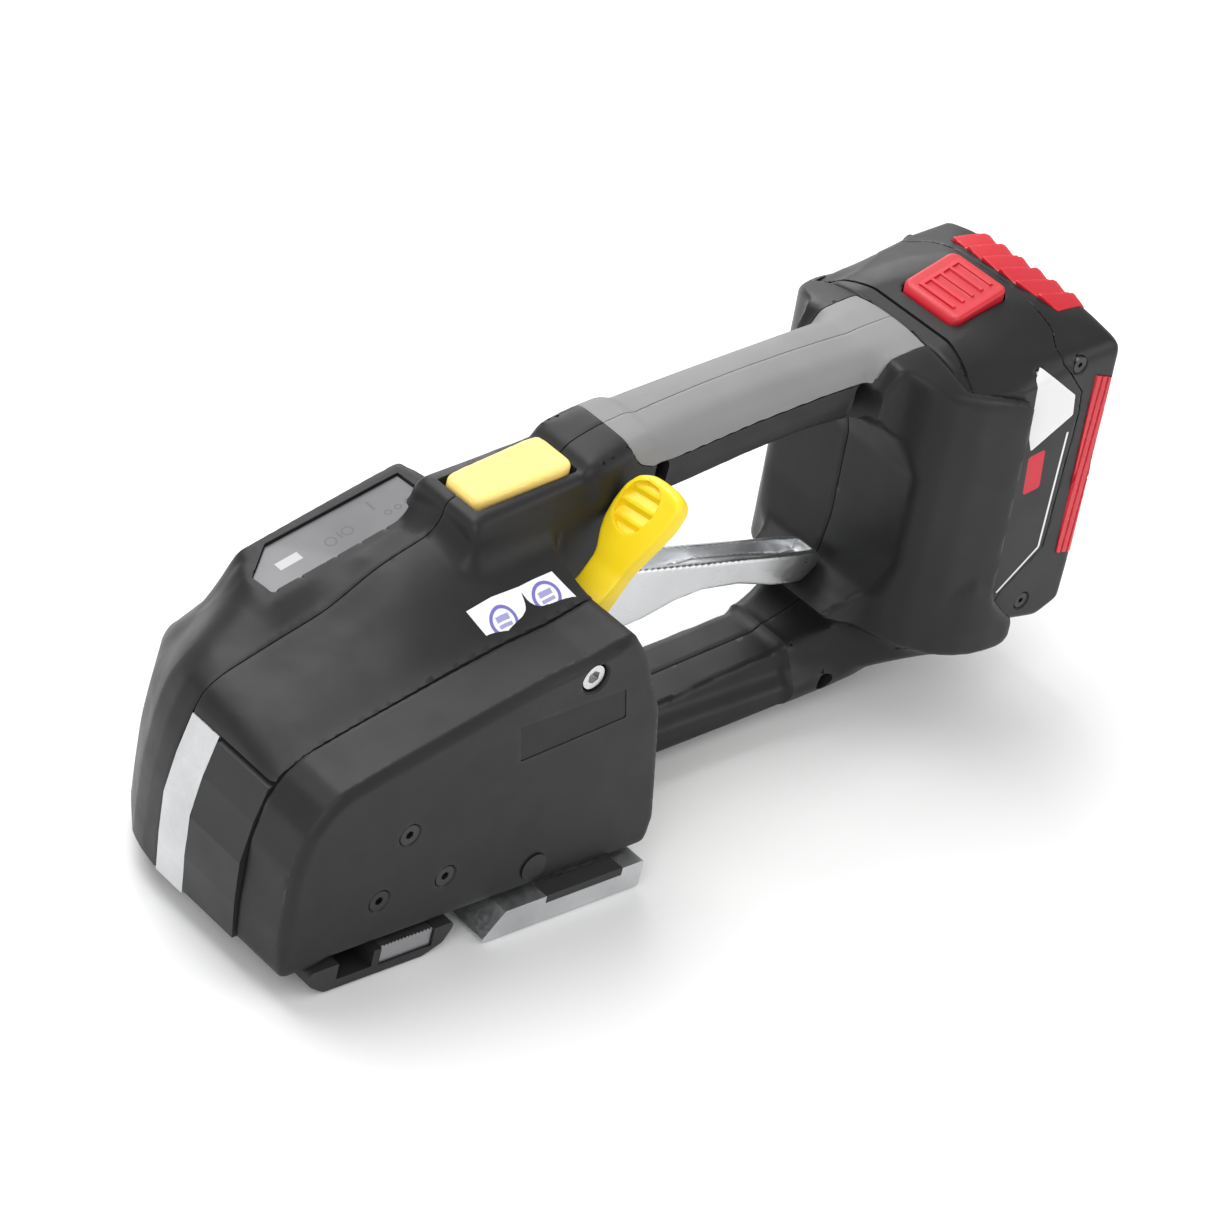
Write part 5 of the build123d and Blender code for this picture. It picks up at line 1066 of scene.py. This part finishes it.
def white_label():
    """White printed label with two blue rings holding plain generic symbols."""
    s = Shader("white_label")
    vector = s.object_vector()
    x, y, _ = s.separate(vector)

    def symbol(centre_x, centre_y):
        """A ring around a block that is split by a narrow gap."""
        dx = s.calc("SUBTRACT", x, (centre_x - ORIGIN_X) / 1000)
        dy = s.calc("MULTIPLY", s.calc("SUBTRACT", y, centre_y / 1000), 1.06)
        away = s.calc("ABSOLUTE", s.calc("SUBTRACT", s.length(dx, dy), 0.0040))
        ring = s.remap(away, (0.00045, 0.0006))
        across = s.calc("ABSOLUTE", dx)
        reach = s.calc("MAXIMUM", across, s.calc("MULTIPLY", s.calc("ABSOLUTE", dy), 1.25))
        block = s.remap(reach, (0.0021, 0.0023), (0.75, 0.0))
        from_gap = s.calc("ABSOLUTE", s.calc("ADD", dy, 0.0003))
        gap = s.remap(from_gap, (0.0003, 0.0004), (0.0, 1.0))
        return s.calc("MAXIMUM", ring, s.calc("MULTIPLY", block, gap))

    blotches = s.noise(vector, scale=60.0, detail=3.0)
    white = s.ramp(blotches, (0.80, 0.80, 0.82), (0.86, 0.86, 0.87))
    blue = s.largest(symbol(*centre) for centre in ((86.3, -31.3), (102.4, -30.0)))
    s.set("Base Color", s.mix(blue, white, (0.17, 0.15, 0.50)))
    s.set("Roughness", 0.42)
    s.bump(s.noise(vector, scale=1200.0, detail=2.0), strength=0.05, depth=0.0001)


# Print on both flanks of the pack, in the tilted frame.
PRINT_LINES = [((313.4, 76.4), (312.8, 32.6)), ((312.8, 32.6), (297.4, 20.4))]
PRINT_BADGE = ((301.0, 72.6), (302.4, 57.8))


def battery_print():
    """Battery plastic with a thin white line and a plain red badge on both sides."""
    s = Shader("battery_print")
    x, y, z = s.separate(s.object_vector())
    x = s.calc("ADD", s.calc("MULTIPLY", x, 1000.0), ORIGIN_X)
    y = s.calc("MULTIPLY", y, 1000.0)
    z = s.calc("MULTIPLY", z, 1000.0)
    along = s.calc("ADD", s.calc("MULTIPLY", x, TILT_COS), s.calc("MULTIPLY", z, TILT_SIN))
    up = s.calc("SUBTRACT", s.calc("MULTIPLY", z, TILT_COS), s.calc("MULTIPLY", x, TILT_SIN))
    flank = s.remap(s.calc("ABSOLUTE", y), (38.2, 38.4), (0.0, 1.0))

    def from_segment(start, end):
        """Distance past the ends of a segment, and distance to its side."""
        length = math.hypot(end[0] - start[0], end[1] - start[1])
        ux, uz = (end[0] - start[0]) / length, (end[1] - start[1]) / length
        dx = s.calc("SUBTRACT", along, (start[0] + end[0]) / 2)
        dz = s.calc("SUBTRACT", up, (start[1] + end[1]) / 2)
        on = s.calc("ADD", s.calc("MULTIPLY", dx, ux), s.calc("MULTIPLY", dz, uz))
        off = s.calc("SUBTRACT", s.calc("MULTIPLY", dx, uz), s.calc("MULTIPLY", dz, ux))
        past = s.calc("SUBTRACT", s.calc("ABSOLUTE", on), length / 2)
        return past, s.calc("ABSOLUTE", off)

    def line(start, end):
        past, off = from_segment(start, end)
        out = s.calc("MAXIMUM", past, s.calc("SUBTRACT", off, 0.42))
        return s.remap(out, (-0.05, 0.08))

    white = s.largest(line(*ends) for ends in PRINT_LINES)
    past, off = from_segment(*PRINT_BADGE)
    out_x = s.calc("MAXIMUM", s.calc("ADD", past, 1.2), 0.0)
    out_z = s.calc("MAXIMUM", s.calc("SUBTRACT", off, 2.4), 0.0)
    red = s.remap(s.length(out_x, out_z), (1.15, 1.25))
    vector = s.scaled_vector()
    blotches = s.noise(vector, scale=22.0, detail=4.0)
    colour = s.ramp(blotches, SHELL_DARK, SHELL_LIGHT, end=0.72)
    colour = s.mix(s.calc("MULTIPLY", red, flank), colour, (0.60, 0.02, 0.04))
    colour = s.mix(s.calc("MULTIPLY", white, flank), colour, (0.80, 0.80, 0.80))
    s.set("Base Color", colour)
    s.vary_roughness(s.noise(vector, scale=90.0, detail=5.0), (0.34, 0.44))
    s.set("Specular IOR Level", 0.24)
    fine = s.noise(vector, scale=2600.0, detail=2.0, roughness=0.6)
    s.bump(fine, strength=0.20, depth=0.00012)


def circuit_board():
    s = Shader("circuit_board")
    vector = s.scaled_vector()
    bricks = s.add("TexBrick", {
        "Scale": 140.0, "Color1": (0.012, 0.075, 0.03), "Color2": (0.016, 0.095, 0.04),
        "Mortar": (0.05, 0.16, 0.07), "Mortar Size": 0.03, "Vector": vector})
    s.set("Base Color", bricks.outputs["Color"])
    s.set("Roughness", 0.35)
    s.bump(s.noise(vector, scale=600.0, detail=3.0), strength=0.2, depth=0.0001)


for row in PLASTICS:
    plastic(*row)
for row in METALS:
    metal(*row)
for make in (soft_grip, display_film, white_label, battery_print, circuit_board):
    make()

# ---------------------------------------------------------------- pieces


def paint(part, material):
    part.data.materials.clear()
    part.data.materials.append(materials[material])


def attach(part, mover, slot, finish, replaced):
    paint(part, finish)
    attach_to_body(part, mover)
    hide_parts(replaced)


for subpart in frame["record"]["subparts"]:
    paint(nodes[subpart["node"]], subpart["material_slot"])
for node in nodes.values():
    shade(node.data, CAD_SHARP_ANGLE)

# Name, field, low and high corner of the meshing box, cell; then the body it rides on,
# its slot, its material and the CAD piece it replaces.
PIECES = [
    ("shell_left", housing_left, (-1.37, -45.8, -1.37), (304.0, 2.0, 134.0), 1.2,
     "housing", "shell_charcoal", "shell_charcoal", "housing_left"),
    ("shell_right", housing_right, (-1.37, -2.0, -1.37), (304.0, 52.5, 134.0), 1.2,
     "housing", "shell_charcoal", "shell_charcoal", "housing_right"),
    ("grip_pad_left", grip_left, (136.0, -17.0, 108.0), (272.0, 1.0, 134.0), 0.7,
     "housing", "soft_grip_grey", "soft_grip_grey", "grip_left"),
    ("grip_pad_right", grip_right, (136.0, -1.0, 108.0), (272.0, 17.0, 134.0), 0.7,
     "housing", "soft_grip_grey", "soft_grip_grey", "grip_right"),
    ("strap_cover", side_cover, (0.13, COVER_FACE - 1.5 * COVER_CELL, 8.0),
     (141.5, -35.5, 95.5), COVER_CELL,
     "housing", "shell_charcoal", "shell_charcoal", "side_cover"),
    ("squeeze_lever", release_lever, (110.0, -33.2, 38.0), (251.5, 9.2, 78.0), 0.55,
     "release_lever", "polished_aluminium", "polished_aluminium", "release_lever"),
    ("thumb_lever", weld_lever, (103.5, -40.2, 67.0), (147.5, -14.6, 122.4), 0.62,
     "weld_lever", "yellow_plastic", "yellow_plastic", "weld_lever"),
    ("top_button", tension_button, (88.0, -10.4, 103.8), (127.4, 10.4, 119.6), 0.7,
     "tension_button", "pale_yellow_plastic", "pale_yellow_plastic", "tension_button"),
    ("pack_front", tilted(pack_front), (255.0, -40.4, 24.0), (314.0, 40.4, 143.0), 0.75,
     "battery", "shell_charcoal", "battery_print", "battery_shell_front"),
    ("pack_rear", tilted(pack_rear), (283.0, -40.4, 20.0), (333.0, 40.4, 143.0), 0.75,
     "battery", "shell_charcoal", "battery_print", "battery_shell_rear"),
    ("pack_bumper", tilted(pack_bumper), (300.0, -24.5, 129.0), (326.0, 24.5, 143.5), 0.6,
     "battery", "red_plastic", "red_plastic", "battery_top_bumper"),
    ("pack_stripes", tilted(pack_stripes), (308.0, -41.0, 44.0), (333.0, 41.0, 124.0), 0.6,
     "battery", "red_plastic", "red_plastic", "battery_side_bumpers"),
    ("pack_label", tilted(pack_label), (284.0, -40.2, 96.0), (310.0, 40.2, 131.0), 0.6,
     "battery", "white_label", "white_label_plain", "battery_label"),
    ("pack_button", tilted(pack_button), (268.0, -13.6, 127.0), (298.0, 13.6, 142.0), 0.5,
     "battery_button", "red_plastic", "red_plastic", "battery_release_button"),
]
for name, field, low, high, cell, *place in PIECES:
    attach(contour(name, field, low, high, cell), *place)


def soft_spring(node, name):
    """The CAD coil as a new piece in bright steel on the housing, with its own mesh."""
    source = nodes[node]
    points = [source.matrix_world @ vertex.co for vertex in source.data.vertices]
    mesh = bpy.data.meshes.new(name)
    mesh.from_pydata(points, [], [tuple(face.vertices) for face in source.data.polygons])
    mesh.update()
    spring = add_object(mesh)
    attach(spring, "housing", "bright_steel", "bright_steel", node)
    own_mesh(spring)


bpy.context.view_layer.update()
soft_spring("button_spring", "press_coil")
soft_spring("rocker_spring", "return_coil")

# ---------------------------------------------------------------- camera, lights, floor
# Columns: camera right, up and backward axes, and its place in metres.
CAMERA_MATRIX = Matrix((
    (0.7403727673, 0.2384958604, -0.6284647086, -0.785000),
    (-0.6418949873, 0.5283884927, -0.5556765481, -0.745650),
    (0.1995469636, 0.8148161298, 0.5442937478, 0.781893),
    (0.0, 0.0, 0.0, 1.0),
))
# Name, place, target (metres), disk size, power.
LIGHTS = [
    ("key", (-0.15, 0.55, 1.25), (0.05, 0, 0.05), 1.0, 12.0),
    ("front", (-1.1, -0.7, 0.9), (0.05, 0, 0.05), 0.9, 6.5),
    ("side", (0.9, -1.0, 0.6), (0.08, 0, 0.06), 0.8, 4.0),
    ("rim", (0.7, 1.1, 0.8), (0.1, 0, 0.06), 0.8, 7.0),
]
SKY_LIGHT, SKY_SEEN = 0.62, 1.0  # world strength as light, and as the camera sees it
FLOOR_HALF, FLOOR_Z = 25.0, -0.0005


def add_camera():
    data = bpy.data.cameras.new("camera")
    data.sensor_width = 36.0
    data.lens = 133.4431631
    data.clip_start, data.clip_end = 0.05, 20.0
    camera = bpy.data.objects.new("camera", data)
    camera.matrix_world = CAMERA_MATRIX
    bpy.context.scene.collection.objects.link(camera)
    bpy.context.scene.camera = camera


def add_light(name, place, target, size, power):
    data = bpy.data.lights.new(name, "AREA")
    data.shape = "DISK"
    data.size = size
    data.energy = power
    light = bpy.data.objects.new(name, data)
    light.location = place
    aim = Vector(target) - Vector(place)
    light.rotation_euler = aim.to_track_quat("-Z", "Y").to_euler()
    bpy.context.scene.collection.objects.link(light)


def add_world():
    """White sky, brighter to the camera than as a light."""
    world = bpy.data.worlds.new("world")
    world.use_nodes = True
    tree = world.node_tree
    colour, strength = tree.nodes["Background"].inputs[:2]
    colour.default_value = (1, 1, 1, 1)
    strength.default_value = SKY_LIGHT
    path = tree.nodes.new("ShaderNodeLightPath")
    choice = tree.nodes.new("ShaderNodeMapRange")
    choice.inputs["To Min"].default_value = SKY_LIGHT
    choice.inputs["To Max"].default_value = SKY_SEEN
    tree.links.new(path.outputs["Is Camera Ray"], choice.inputs["Value"])
    tree.links.new(choice.outputs["Result"], strength)
    bpy.context.scene.world = world


def add_floor():
    s = Shader("floor_paper")
    s.set("Base Color", (0.93, 0.93, 0.93))
    s.set("Roughness", 0.9)
    s.set("Specular IOR Level", 0.1)
    mesh = bpy.data.meshes.new("floor")
    signs = ((-1, -1), (1, -1), (1, 1), (-1, 1))
    corners = [(i * FLOOR_HALF, j * FLOOR_HALF, FLOOR_Z) for i, j in signs]
    mesh.from_pydata(corners, [], [(0, 1, 2, 3)])
    mesh.materials.append(s.material)
    floor = bpy.data.objects.new("floor", mesh)
    bpy.context.scene.collection.objects.link(floor)


add_camera()
for row in LIGHTS:
    add_light(*row)
add_world()
bpy.context.scene.view_settings.view_transform = "Standard"
add_floor()

bpy.context.view_layer.update()
